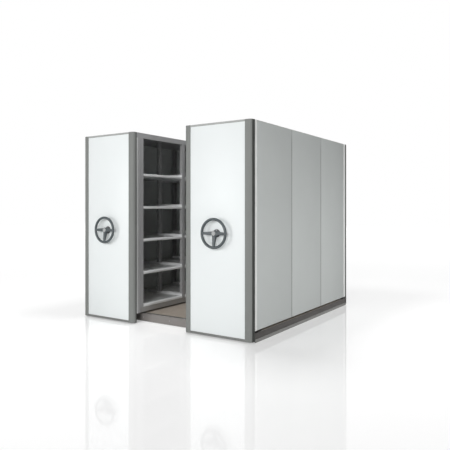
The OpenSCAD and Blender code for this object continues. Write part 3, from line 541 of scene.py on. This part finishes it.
def makePlain(obj):
    # Every modifier is applied, so that the piece is one ordinary mesh
    bpy.context.view_layer.update()
    graph = bpy.context.evaluated_depsgraph_get()
    evaluated = obj.evaluated_get(graph)
    mesh = bpy.data.meshes.new_from_object(evaluated, preserve_all_data_layers=True, depsgraph=graph)
    obj.modifiers.clear()
    obj.data = mesh


def growTree(obj, tree, values):
    modifier = obj.modifiers.new(tree.name, "NODES")
    modifier.node_group = tree
    for item in tree.interface.items_tree:
        if item.in_out == "INPUT" and item.name in values:
            modifier[item.identifier] = values[item.name]
    makePlain(obj)


def giveWall(obj, sheet):
    wall = obj.modifiers.new("wall", "SOLIDIFY")
    wall.thickness, wall.offset = sheet, -1
    makePlain(obj)


def shadeByAngle(mesh, degrees=35):
    mesh.shade_smooth()
    mesh.set_sharp_from_angle(angle=math.radians(degrees))


def joinRings(bm, first, second, closed):
    # One strip of faces between two rings of as many vertices
    count = len(first)
    return [bm.faces.new((first[k], first[(k + 1) % count], second[(k + 1) % count], second[k]))
            for k in range(count if closed else count - 1)]


# CAD nodes come as loose triangles; corners closer than this, in metres, are one
weld = 0.00001


def weldedNode(node):
    bm = bmesh.new()
    bm.from_mesh(nodes[node].data)
    bmesh.ops.remove_doubles(bm, verts=bm.verts, dist=weld)
    return bm


def islandBoxes(node):
    # The lowest and highest corner of each separate solid of a node
    bm = weldedNode(node)
    waiting, boxes = set(bm.verts), []
    while waiting:
        found = [waiting.pop()]
        for vert in found:
            for edge in vert.link_edges:
                other = edge.other_vert(vert)
                if other in waiting:
                    waiting.remove(other)
                    found.append(other)
        low = Vector(min(vert.co[axis] for vert in found) for axis in range(3))
        high = Vector(max(vert.co[axis] for vert in found) for axis in range(3))
        boxes.append([low, high])
    bm.free()
    return sorted(boxes, key=lambda box: tuple(box[0]))


# Shelf boards: folded trays with rolled edges, two back to back on each level of each bay
shelfBoard = {"bays": 3, "levels": 5, "height": 0.025, "sheet": 0.0015, "fold": 0.014, "radius": 0.0035,
              "roundSteps": 4, "rowSeam": 0.055, "backSeam": 0.002}


def roundedCorner(centreX, centreZ, radius, start, steps):
    turns = [start + math.pi / 2 * k / steps for k in range(steps + 1)]
    return [(centreX + radius * math.cos(turn), centreZ + radius * math.sin(turn)) for turn in turns]


def boardOutline(width, board):
    # From one inward fold, up over the board and down to the other, as x and z
    r, h, steps = board["radius"], board["height"], board["roundSteps"]
    right = roundedCorner(width - r, r, r, -math.pi / 2, steps) + roundedCorner(width - r, h - r, r, 0, steps)
    left = [(width - x, z) for x, z in reversed(right)]
    return [(width - board["fold"], 0)] + right + left + [(board["fold"], 0)]


def makeShelves(side, board):
    node = side + "_shelves"
    low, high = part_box(node)
    bayPitch = (high.y - low.y + board["rowSeam"]) / board["bays"]
    levelPitch = (high.z - low.z - board["height"]) / (board["levels"] - 1)
    length = bayPitch - board["rowSeam"]
    width = (high.x - low.x - board["backSeam"]) / 2
    outline = boardOutline(width, board)
    bm = bmesh.new()
    for start in (low.x, high.x - width):
        rings = [[bm.verts.new((start + x, low.y + y, low.z + z)) for x, z in outline] for y in (0, length)]
        joinRings(bm, rings[0], rings[1], closed=False)
    boards = builtObject(side + "ShelfBoards", bm)
    giveWall(boards, board["sheet"])
    growTree(boards, gridTree, {"Bays": board["bays"], "Bay Pitch": bayPitch, "Levels": board["levels"],
                                "Level Pitch": levelPitch, "Finish": finishes["shelfCoat"]})
    shadeByAngle(boards.data)
    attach(boards, side + "_carriage")
    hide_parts(node)


for side in sides:
    makeShelves(side, shelfBoard)
print("shelf boards done")


# Folded panels: trays with rounded edges, open behind
endTray = {"depth": 0.020, "sheet": 0.0015, "radius": 0.0022, "steps": 3, "return": 0.012, "bossHole": 0.0253,
           "bossHeight": 1.045, "holeSides": 48}
sideTray = {"panels": 3, "seam": 0.014, "sheet": 0.0015, "radius": 0.003, "steps": 4, "return": 0.0}
traySharpness = 50     # degrees between faces from which an edge stays sharp


def addTray(bm, low, high, faceAxis, outward, tray):
    # A five-sided box whose open side looks away from outward along faceAxis
    corners = {}
    for ix in (0, 1):
        for iy in (0, 1):
            for iz in (0, 1):
                place = [(low, high)[end][axis] for axis, end in enumerate((ix, iy, iz))]
                corners[ix, iy, iz] = bm.verts.new(place)
    faces = []
    for axis in range(3):
        for end in (0, 1):
            if axis == faceAxis and end != (outward > 0):
                continue
            others = [k for k in range(3) if k != axis]
            ring = []
            for a, b in ((0, 0), (1, 0), (1, 1), (0, 1)):
                key = [0, 0, 0]
                key[axis], key[others[0]], key[others[1]] = end, a, b
                ring.append(corners[tuple(key)])
            faces.append(bm.faces.new(ring))
    bmesh.ops.recalc_face_normals(bm, faces=faces)
    folded = {edge for face in faces for edge in face.edges if len(edge.link_faces) == 2}
    rim = {edge for face in faces for edge in face.edges if len(edge.link_faces) == 1}
    if tray["return"]:
        grown = bmesh.ops.extrude_edge_only(bm, edges=list(rim))["geom"]
        middle = (Vector(low) + Vector(high)) / 2
        for vert in (item for item in grown if isinstance(item, bmesh.types.BMVert)):
            for axis in range(3):
                if axis != faceAxis:
                    vert.co[axis] -= math.copysign(tray["return"], vert.co[axis] - middle[axis])
    bmesh.ops.bevel(bm, geom=list(folded), offset=tray["radius"], segments=tray["steps"], profile=0.5,
                    affect="EDGES")


def cutBossHole(obj, middleX, tray):
    # A round hole along Y through the front sheet, where the handwheel's boss comes out
    front = min(vert.co.y for vert in obj.data.vertices)
    bm = bmesh.new()
    place = Matrix.Translation((middleX, front, tray["bossHeight"])) @ Matrix.Rotation(math.pi / 2, 4, "X")
    bmesh.ops.create_cone(bm, cap_ends=True, segments=tray["holeSides"], radius1=tray["bossHole"],
                          radius2=tray["bossHole"], depth=2 * tray["return"], matrix=place)
    cutter = builtObject("cutter", bm)
    hole = obj.modifiers.new("hole", "BOOLEAN")
    hole.operation, hole.solver, hole.object = "DIFFERENCE", "EXACT", cutter
    makePlain(obj)
    bpy.data.objects.remove(cutter)


def finishTray(obj, tray, finish, side, node):
    giveWall(obj, tray["sheet"])
    if "bossHole" in tray:
        cutBossHole(obj, sum(corner.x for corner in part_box(node)) / 2, tray)
    shadeByAngle(obj.data, traySharpness)
    giveFinish(obj, finish)
    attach(obj, side + "_carriage")
    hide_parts(node)


def makeEndPanels(side, tray):
    node = side + "_end_panels"
    low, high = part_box(node)
    bm = bmesh.new()
    addTray(bm, low, (high.x, low.y + tray["depth"], high.z), 1, -1, tray)
    addTray(bm, (low.x, high.y - tray["depth"], low.z), high, 1, 1, tray)
    finishTray(builtObject(side + "EndPanels", bm), tray, "endCoat", side, node)


def makeSidePanels(side, tray):
    node = side + "_side_panels"
    low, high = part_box(node)
    length = (high.y - low.y - (tray["panels"] - 1) * tray["seam"]) / tray["panels"]
    bm = bmesh.new()
    for k in range(tray["panels"]):
        start = low.y + k * (length + tray["seam"])
        addTray(bm, (low.x, start, low.z), (high.x, start + length, high.z), 0, sides[side], tray)
    finishTray(builtObject(side + "SidePanels", bm), tray, "sideCoat", side, node)


for side in sides:
    makeEndPanels(side, endTray)
    makeSidePanels(side, sideTray)
print("panels done")


def addPrism(bm, plan, low, high):
    # A closed upright prism on the points given in plan
    rings = [[bm.verts.new((x, y, z)) for x, y in plan] for z in (low, high)]
    faces = joinRings(bm, rings[0], rings[1], closed=True)
    faces += [bm.faces.new(rings[0]), bm.faces.new(rings[1])]
    bmesh.ops.recalc_face_normals(bm, faces=faces)


def prismPiece(name, prisms, finish, side):
    bm = bmesh.new()
    for plan, low, high in prisms:
        addPrism(bm, plan, low, high)
    piece = builtObject(name, bm)
    shadeByAngle(piece.data)
    giveFinish(piece, finish)
    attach(piece, side + "_carriage")
    return piece


# Rubber seals: a lip with a bulb laid round the outer posts' corner, a low bead towards the aisle; the lip's
# dark rubber over the corner and the post's side is partly a seal and partly painted shade for the post's
# shaded side face
sealLipAndShade = {"postRadius": 0.036, "start": 63, "thin": 0.0008, "thick": 0.0026, "bulbFrom": 0.0368,
           "bulbTo": 0.0494, "proud": 0.012, "root": 0.0015, "arcSteps": 9, "bulbSteps": 12, "fullness": 0.7}
aisleBead = {"width": 0.010, "proud": 0.003, "root": 0.002, "steps": 14, "fullness": 0.62, "crownDip": 0.14,
             "dipWidth": 0.22}


def lipPlan(face, outward, plane, inward, lip):
    # The post's quarter-round from start degrees on, then the bulb on the flat, and back along the root
    radius = lip["postRadius"]

    def onArc(k, offset):
        angle = math.radians(lip["start"] + (90 - lip["start"]) * k / lip["arcSteps"])
        return (face + outward * ((radius + offset) * math.sin(angle) - radius),
                plane + inward * (radius - (radius + offset) * math.cos(angle)))

    grow = (lip["thick"] - lip["thin"]) / lip["arcSteps"]
    plan = [onArc(k, lip["thin"] + grow * k) for k in range(lip["arcSteps"] + 1)]
    middle, half = (lip["bulbFrom"] + lip["bulbTo"]) / 2, (lip["bulbTo"] - lip["bulbFrom"]) / 2
    for k in range(lip["bulbSteps"] + 1):
        turn = math.pi * (k / lip["bulbSteps"] - 0.5)
        reach = lip["thick"] + (lip["proud"] - lip["thick"]) * max(0.0, math.cos(turn)) ** lip["fullness"]
        plan.append((face + outward * reach, plane + inward * (middle + math.sin(turn) * half)))
    plan.append((face - outward * lip["root"], plane + inward * lip["bulbTo"]))
    return plan + [onArc(k, -lip["root"]) for k in range(lip["arcSteps"], -1, -1)]


def beadPlan(face, outward, middle, bead):
    # A low rounded bead with a slight dip along its crown
    half = bead["width"] / 2
    plan = [(face - outward * bead["root"], middle - half)]
    for k in range(bead["steps"] + 1):
        turn = math.pi * (k / bead["steps"] - 0.5)
        dip = 1 - bead["crownDip"] * math.exp(-(turn / bead["dipWidth"]) ** 2)
        reach = max(0.0, math.cos(turn)) ** bead["fullness"] * dip
        along = math.copysign(abs(math.sin(turn)) ** bead["fullness"], turn)
        plan.append((face + outward * bead["proud"] * reach, middle + along * half))
    return plan + [(face - outward * bead["root"], middle + half)]


def makeSeals(side, lip, bead):
    node = side + "_seal_strips"
    postLow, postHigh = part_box(side + "_corner_posts")
    prisms = []
    for low, high in islandBoxes(node):
        outward = 1 if low.x > (postLow.x + postHigh.x) / 2 else -1
        face = postHigh.x if outward > 0 else postLow.x
        # The outer posts get the wide dark lip: a seal, and painted shade over the post's side face
        if outward == sides[side]:
            plane, inward = (postLow.y, 1) if low.y < 0 else (postHigh.y, -1)
            plan = lipPlan(face, outward, plane, inward, lip)
        else:
            plan = beadPlan(face, outward, (low.y + high.y) / 2, bead)
        prisms.append((plan, low.z, high.z))
    seals = prismPiece(side + "SealLipsAndShade", prisms, "sealRubber", side)
    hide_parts(node)


# Light strips: rolled covers that lap over the side panels' ends, and a plain one by the aisle's front post
coverStrip = {"lap": 0.026, "proud": 0.0015, "depth": 0.006, "radius": 0.0012, "steps": 3,
              "nearPanel": 0.1}     # a strip within this distance of the side panels is one of their covers


def stripPlan(x0, x1, y0, y1, outward, strip):
    # A flat section with its two outer edges rolled; x1 is the outer face
    r, steps = strip["radius"], strip["steps"]
    turns = [math.pi / 2 * k / steps for k in range(steps + 1)]
    plan = [(x0, y0)]
    plan += [(x1 - outward * r * (1 - math.sin(turn)), y0 + r * (1 - math.cos(turn))) for turn in turns]
    plan += [(x1 - outward * r * (1 - math.cos(turn)), y1 - r * (1 - math.sin(turn))) for turn in turns]
    return plan + [(x0, y1)]


def makeStrips(side, strip):
    node = side + "_edge_strips"
    outward = sides[side]
    panelLow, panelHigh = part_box(side + "_side_panels")
    panelFace = panelHigh.x if outward > 0 else panelLow.x
    face = panelFace + outward * strip["proud"]
    nearest = (panelLow.x + panelHigh.x) / 2 * outward - strip["nearPanel"]
    covers, plain = [], []
    for low, high in islandBoxes(node):
        if (low.x + high.x) / 2 * outward > nearest:
            y0, y1 = (low.y, high.y + strip["lap"]) if low.y < 0 else (low.y - strip["lap"], high.y)
            plan = stripPlan(face - outward * strip["depth"], face, y0, y1, outward, strip)
            covers.append((plan, low.z, high.z))
        else:
            x0, x1 = (high.x, low.x) if outward > 0 else (low.x, high.x)
            plain.append((stripPlan(x0, x1, low.y, high.y, -outward, strip), low.z, high.z))
    coverPiece = prismPiece(side + "CoverStrips", covers, "stripCoat", side)
    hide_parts(node)
    # The aisle strip takes the darker cheekCoat: painted shade for the aisle
    prismPiece(side + "AisleStrip", plain, "cheekCoat", side)


# Plastic caps that close the corner posts on top, in two low steps of inset and rise
postCaps = {"radius": 0.036, "steps": 10, "below": 0.0006, "tiers": ((0.0008, 0.0003), (0.0032, 0.0009))}


def makeCaps(side, caps):
    node = side + "_corner_posts"
    postsLow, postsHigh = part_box(node)
    turns = [math.pi / 2 * k / caps["steps"] for k in range(caps["steps"] + 1)]
    prisms = []
    for low, high in islandBoxes(node):
        across = 1 if low.x + high.x > postsLow.x + postsHigh.x else -1
        inward = 1 if low.y < 0 else -1
        outer, inner = (high.x, low.x) if across > 0 else (low.x, high.x)
        plane, back = (low.y, high.y) if inward > 0 else (high.y, low.y)
        start = high.z - caps["below"]
        for inset, rise in caps["tiers"]:
            reach = caps["radius"] - inset
            plan = [(inner + across * inset, plane + inward * inset)]
            plan += [(outer - across * (caps["radius"] - reach * math.sin(turn)),
                      plane + inward * (caps["radius"] - reach * math.cos(turn))) for turn in turns]
            plan += [(x, back - inward * inset) for x in (outer - across * inset, inner + across * inset)]
            prisms.append((plan, start, high.z + rise))
            start = high.z + rise
    prismPiece(side + "PostCaps", prisms, "plugPlastic", side)


for side in sides:
    makeSeals(side, sealLipAndShade, aisleBead)
    makeStrips(side, coverStrip)
    makeCaps(side, postCaps)
print("seals, strips and caps done")


# Handwheels: the turned and cut blank is blended into one casting, with fillets where spokes meet rim and hub
wheelCasting = {"voxel": 0.0017, "rounds": 14, "factor": 0.5}


def makeHandwheel(side, casting):
    node = side + "_handwheel"
    wheel = builtObject(side + "HandwheelCasting", weldedNode(node))
    blank = wheel.modifiers.new("blank", "REMESH")
    blank.mode, blank.voxel_size = "VOXEL", casting["voxel"]
    fillets = wheel.modifiers.new("fillets", "SMOOTH")
    fillets.iterations, fillets.factor = casting["rounds"], casting["factor"]
    makePlain(wheel)
    wheel.data.shade_smooth()
    giveFinish(wheel, "wheelPlastic")
    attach(wheel, side + "_handwheel_body")
    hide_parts(node)


for side in sides:
    makeHandwheel(side, wheelCasting)
print("handwheels done")


# Screws and bolts: heads are set on the points given, and turned to look up or out
faceUp = (0, 0, 0)
faceFront = (math.radians(90), 0, 0)
faceBack = (math.radians(-90), 0, 0)
screwForm = {"sides": 20, "taper": 0.8, "recess": 0.5, "collar": 0.6, "collarHeight": 0.0001}
boltForm = {"sides": 6, "taper": 0.95, "recess": 0.8, "washerHeight": 0.0012}


def makeScrews(name, places, body, finish, values):
    mesh = bpy.data.meshes.new(name)
    mesh.from_pydata(places, [], [])
    screws = meshObject(name, mesh)
    growTree(screws, screwTree, values | {"Finish": finishes[finish]})
    screws.data.shade_flat()
    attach(screws, body)


def screwHead(screw, turn=faceUp):
    return {"Sides": screwForm["sides"], "Head Radius": screw["head"], "Head Height": screw["height"],
            "Taper": screwForm["taper"], "Recess": screwForm["recess"],
            "Washer Radius": screw["head"] * screwForm["collar"], "Washer Height": screwForm["collarHeight"],
            "Turn": turn}


def boltHead(bolt, turn=faceUp):
    return {"Sides": boltForm["sides"], "Head Radius": bolt["head"], "Head Height": bolt["height"],
            "Taper": boltForm["taper"], "Recess": boltForm["recess"],
            "Washer Radius": bolt["washer"], "Washer Height": boltForm["washerHeight"], "Turn": turn}


def evenly(low, high, spacing):
    count = max(1, round((high - low) / spacing))
    return [low + (high - low) * k / count for k in range(count + 1)]


# Rose screws hold the boss of each handwheel, cover screws the top cover
roseScrews = {"count": 3, "circle": 0.034, "bossHeight": 1.045, "head": 0.0036, "height": 0.0018}
coverScrews = {"rows": 4, "fromEnd": 0.025, "fromSide": 0.02, "head": 0.0045, "height": 0.0008}


def makeRoseScrews(side, rose):
    bossLow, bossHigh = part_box(side + "_hub_bearing")
    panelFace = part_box(side + "_corner_posts")[0].y
    axisX = (bossLow.x + bossHigh.x) / 2
    places = []
    for k in range(rose["count"]):
        angle = math.radians(90 + 360 * k / rose["count"])
        places.append((axisX + rose["circle"] * math.cos(angle), panelFace,
                       rose["bossHeight"] + rose["circle"] * math.sin(angle)))
    makeScrews(side + "RoseScrews", places, side + "_carriage", "turnedSteel",
               screwHead(rose, faceFront))


def makeCoverScrews(side, cover):
    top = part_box(side + "_top_cover")[1].z
    low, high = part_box(side + "_uprights")
    length = high.y - low.y - 2 * cover["fromEnd"]
    rows = [low.y + cover["fromEnd"] + length * k / (cover["rows"] - 1) for k in range(cover["rows"])]
    places = [(x, y, top) for y in rows for x in (low.x + cover["fromSide"], high.x - cover["fromSide"])]
    makeScrews(side + "CoverScrews", places, side + "_carriage", "zincPlate", screwHead(cover))


for side in sides:
    makeRoseScrews(side, roseScrews)
    makeCoverScrews(side, coverScrews)
print("carriage screws done")


# Drive shaft bearings are held by two bolts each, on alternate sides of their webs
bearingBolts = {"earOut": 0.034, "flange": 0.006, "web": 0.042, "frontWeb": 0.096, "head": 0.0065,
                "height": 0.004, "washer": 0.0082}
railHalf = 0.024     # half a rail's width


def railRows():
    low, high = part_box("rails")
    return [low.y + railHalf, (low.y + high.y) / 2, high.y - railHalf]


def makeBearingBolts(side, bolts):
    shaftLow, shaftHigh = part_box(side + "_drive_shaft")
    axis = (shaftLow + shaftHigh) / 2
    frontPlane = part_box(side + "_corner_posts")[0].y
    webs = [(frontPlane + bolts["frontWeb"], -1)]
    for row in railRows():
        webs += [(row - bolts["web"], 1), (row + bolts["web"], -1)]
    for name, direction, turn in (("BearingBoltsFront", -1, faceFront), ("BearingBoltsBack", 1, faceBack)):
        places = [(axis.x + ear * bolts["earOut"], y + direction * bolts["flange"], axis.z)
                  for y, looks in webs if looks == direction for ear in (-1, 1)]
        makeScrews(side + name, places, side + "_carriage", "zincPlate", boltHead(bolts, turn))


for side in sides:
    makeBearingBolts(side, bearingBolts)
print("bearing bolts done")


# Platform screws: along the joists and board seams, the outer rails, the fascias and the end stops
platformGrid = {"joists": 7, "joistInset": 0.02, "boards": 3, "boardGap": 0.002, "seamNear": 0.02,
                "seamPair": 0.011, "railClear": 0.05}
deckScrews = {"head": 0.0045, "height": 0.0003, "spacing": 0.24, "edge": 0.03}
railScrews = {"head": 0.0055, "height": 0.0003, "spacing": 0.1917}
fasciaScrews = {"head": 0.0045, "height": 0.002, "spacing": 0.3833, "z": 0.047, "sheet": 0.003}
stopBolts = {"fromEnd": 0.016, "leg": 0.005, "head": 0.0075, "height": 0.005, "washer": 0.0095}


def joistRows(frameLow, frameHigh, grid):
    count, inset = grid["joists"], grid["joistInset"]
    length = frameHigh.x - frameLow.x - 2 * inset
    return [frameLow.x + inset + length * k / (count - 1) for k in range(count)]


def screwLines(joists, deckLow, deckHigh, grid):
    # One line on each joist, and one on each side of a seam where boards meet on it
    gap = grid["boardGap"]
    seams = [deckLow.x + (deckHigh.x - deckLow.x + gap) * k / grid["boards"] - gap / 2
             for k in range(1, grid["boards"])]
    lines = []
    for x in joists:
        near = [seam for seam in seams if abs(seam - x) < grid["seamNear"]]
        lines += [near[0] - grid["seamPair"], near[0] + grid["seamPair"]] if near else [x]
    return lines


def makePlatformScrews(grid):
    deckLow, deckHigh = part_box("deck_boards")
    frameLow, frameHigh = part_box("platform_frame")
    stopLow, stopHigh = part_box("end_stops")
    frontRail, middleRail, backRail = railRows()
    joists = joistRows(frameLow, frameHigh, grid)

    bands = [(deckLow.y + deckScrews["edge"], middleRail - grid["railClear"]),
             (middleRail + grid["railClear"], deckHigh.y - deckScrews["edge"])]
    places = [(x, y, deckHigh.z) for x in screwLines(joists, deckLow, deckHigh, grid)
              for low, high in bands for y in evenly(low, high, deckScrews["spacing"])]
    makeScrews("deckScrews", places, "platform", "zincPlate", screwHead(deckScrews))

    places = [(x, y, deckHigh.z) for x in evenly(joists[0], joists[-1], railScrews["spacing"])
              for y in (frontRail, backRail)]
    makeScrews("railScrews", places, "platform", "turnedSteel", screwHead(railScrews))

    for name, y, turn in (("fasciaScrewsFront", frameLow.y - fasciaScrews["sheet"], faceFront),
                          ("fasciaScrewsBack", frameHigh.y + fasciaScrews["sheet"], faceBack)):
        places = [(x, y, fasciaScrews["z"]) for x in evenly(joists[0], joists[-1], fasciaScrews["spacing"])]
        makeScrews(name, places, "platform", "zincPlate", screwHead(fasciaScrews, turn))

    places = [(x, y, deckHigh.z + stopBolts["leg"]) for y in (frontRail, backRail)
              for x in (stopLow.x + stopBolts["fromEnd"], stopHigh.x - stopBolts["fromEnd"])]
    makeScrews("stopBolts", places, "platform", "zincPlate", boltHead(stopBolts))


makePlatformScrews(platformGrid)
print("platform screws done")


# Stage: a pale glossy floor, a white surround and soft lamps, in metres and watts
stageLook = {
    "floor": (0.86, 0.86, 0.86, 1),
    "floorSize": 60.0,           # metres a side
    "floorSheen": 0.5,
    "floorGloss": (0.03, 0.05),  # roughness of its smoothest and dullest patches
    "patchScale": 0.6,
    "floorLift": 0.335,          # added for the camera alone, so that the lit floor meets the white surround
    "ambient": 0.18,             # the surround's light on the object
    "background": 1.0,           # the surround as it is seen
}
lamps = {
    "keySoftbox": {"place": (5.9, -16.4, 5.0), "aim": (0.0, -1.2, 1.0), "size": 5.0, "power": 1080.0},
    "fillSoftbox": {"place": (-3.0, -7.5, 2.2), "aim": (-0.6, -1.2, 1.0), "size": 3.0, "power": 138.0},
    "aisleSoftbox": {"place": (0.0, -0.6, 4.5), "aim": (0.0, -0.4, 0.0), "size": 1.0, "power": 94.0},
    "floorSoftbox": {"place": (4.5, 0.8, 0.9), "aim": (4.1, 0.8, 0.0), "size": 1.5, "power": 46.0},
    "edgeSoftbox": {"place": (6.6, -3.7, 0.9), "aim": (1.2, -1.2, 1.0), "size": 0.7, "power": 48.0},
}


def makeFloor(look):
    half = look["floorSize"] / 2
    mesh = bpy.data.meshes.new("floor")
    corners = [(-half, -half, 0), (half, -half, 0), (half, half, 0), (-half, half, 0)]
    mesh.from_pydata(corners, [], [(0, 1, 2, 3)])
    floor = meshObject("floor", mesh)
    shader = {"Base Color": look["floor"], "Specular IOR Level": look["floorSheen"],
              "Emission Color": (1, 1, 1, 1)}
    material, tree, bsdf = newMaterial("floorGloss", shader)
    patch = noise(tree, objectPoint(tree), look["patchScale"])
    seen = addNode(tree, "ShaderNodeLightPath").outputs["Is Camera Ray"]
    feed(tree, bsdf, {"Roughness": span(tree, patch, 0.3, 0.7, *look["floorGloss"]),
                      "Emission Strength": times(tree, seen, look["floorLift"])})
    mesh.materials.append(material)


def makeWorld(look):
    world = bpy.data.worlds.new("surround")
    world.use_nodes = True
    scene.world = world
    tree = world.node_tree
    path = addNode(tree, "ShaderNodeLightPath").outputs
    throughGlass = calc(tree, "MAXIMUM", path["Is Glossy Ray"], path["Is Transmission Ray"])
    seen = calc(tree, "MAXIMUM", path["Is Camera Ray"], throughGlass)
    background = tree.nodes["Background"]
    background.inputs["Color"].default_value = (1, 1, 1, 1)
    feed(tree, background, {"Strength": span(tree, seen, 0.0, 1.0, look["ambient"], look["background"])})


def makeLamp(name, settings):
    data = bpy.data.lights.new(name, "AREA")
    data.size = settings["size"]
    data.energy = settings["power"]
    lamp = bpy.data.objects.new(name, data)
    lamp.location = settings["place"]
    aim = Vector(settings["aim"]) - lamp.location
    lamp.rotation_euler = aim.to_track_quat("-Z", "Y").to_euler()
    scene.collection.objects.link(lamp)


makeFloor(stageLook)
makeWorld(stageLook)
for lampName, lampSettings in lamps.items():
    makeLamp(lampName, lampSettings)
print("stage ready")
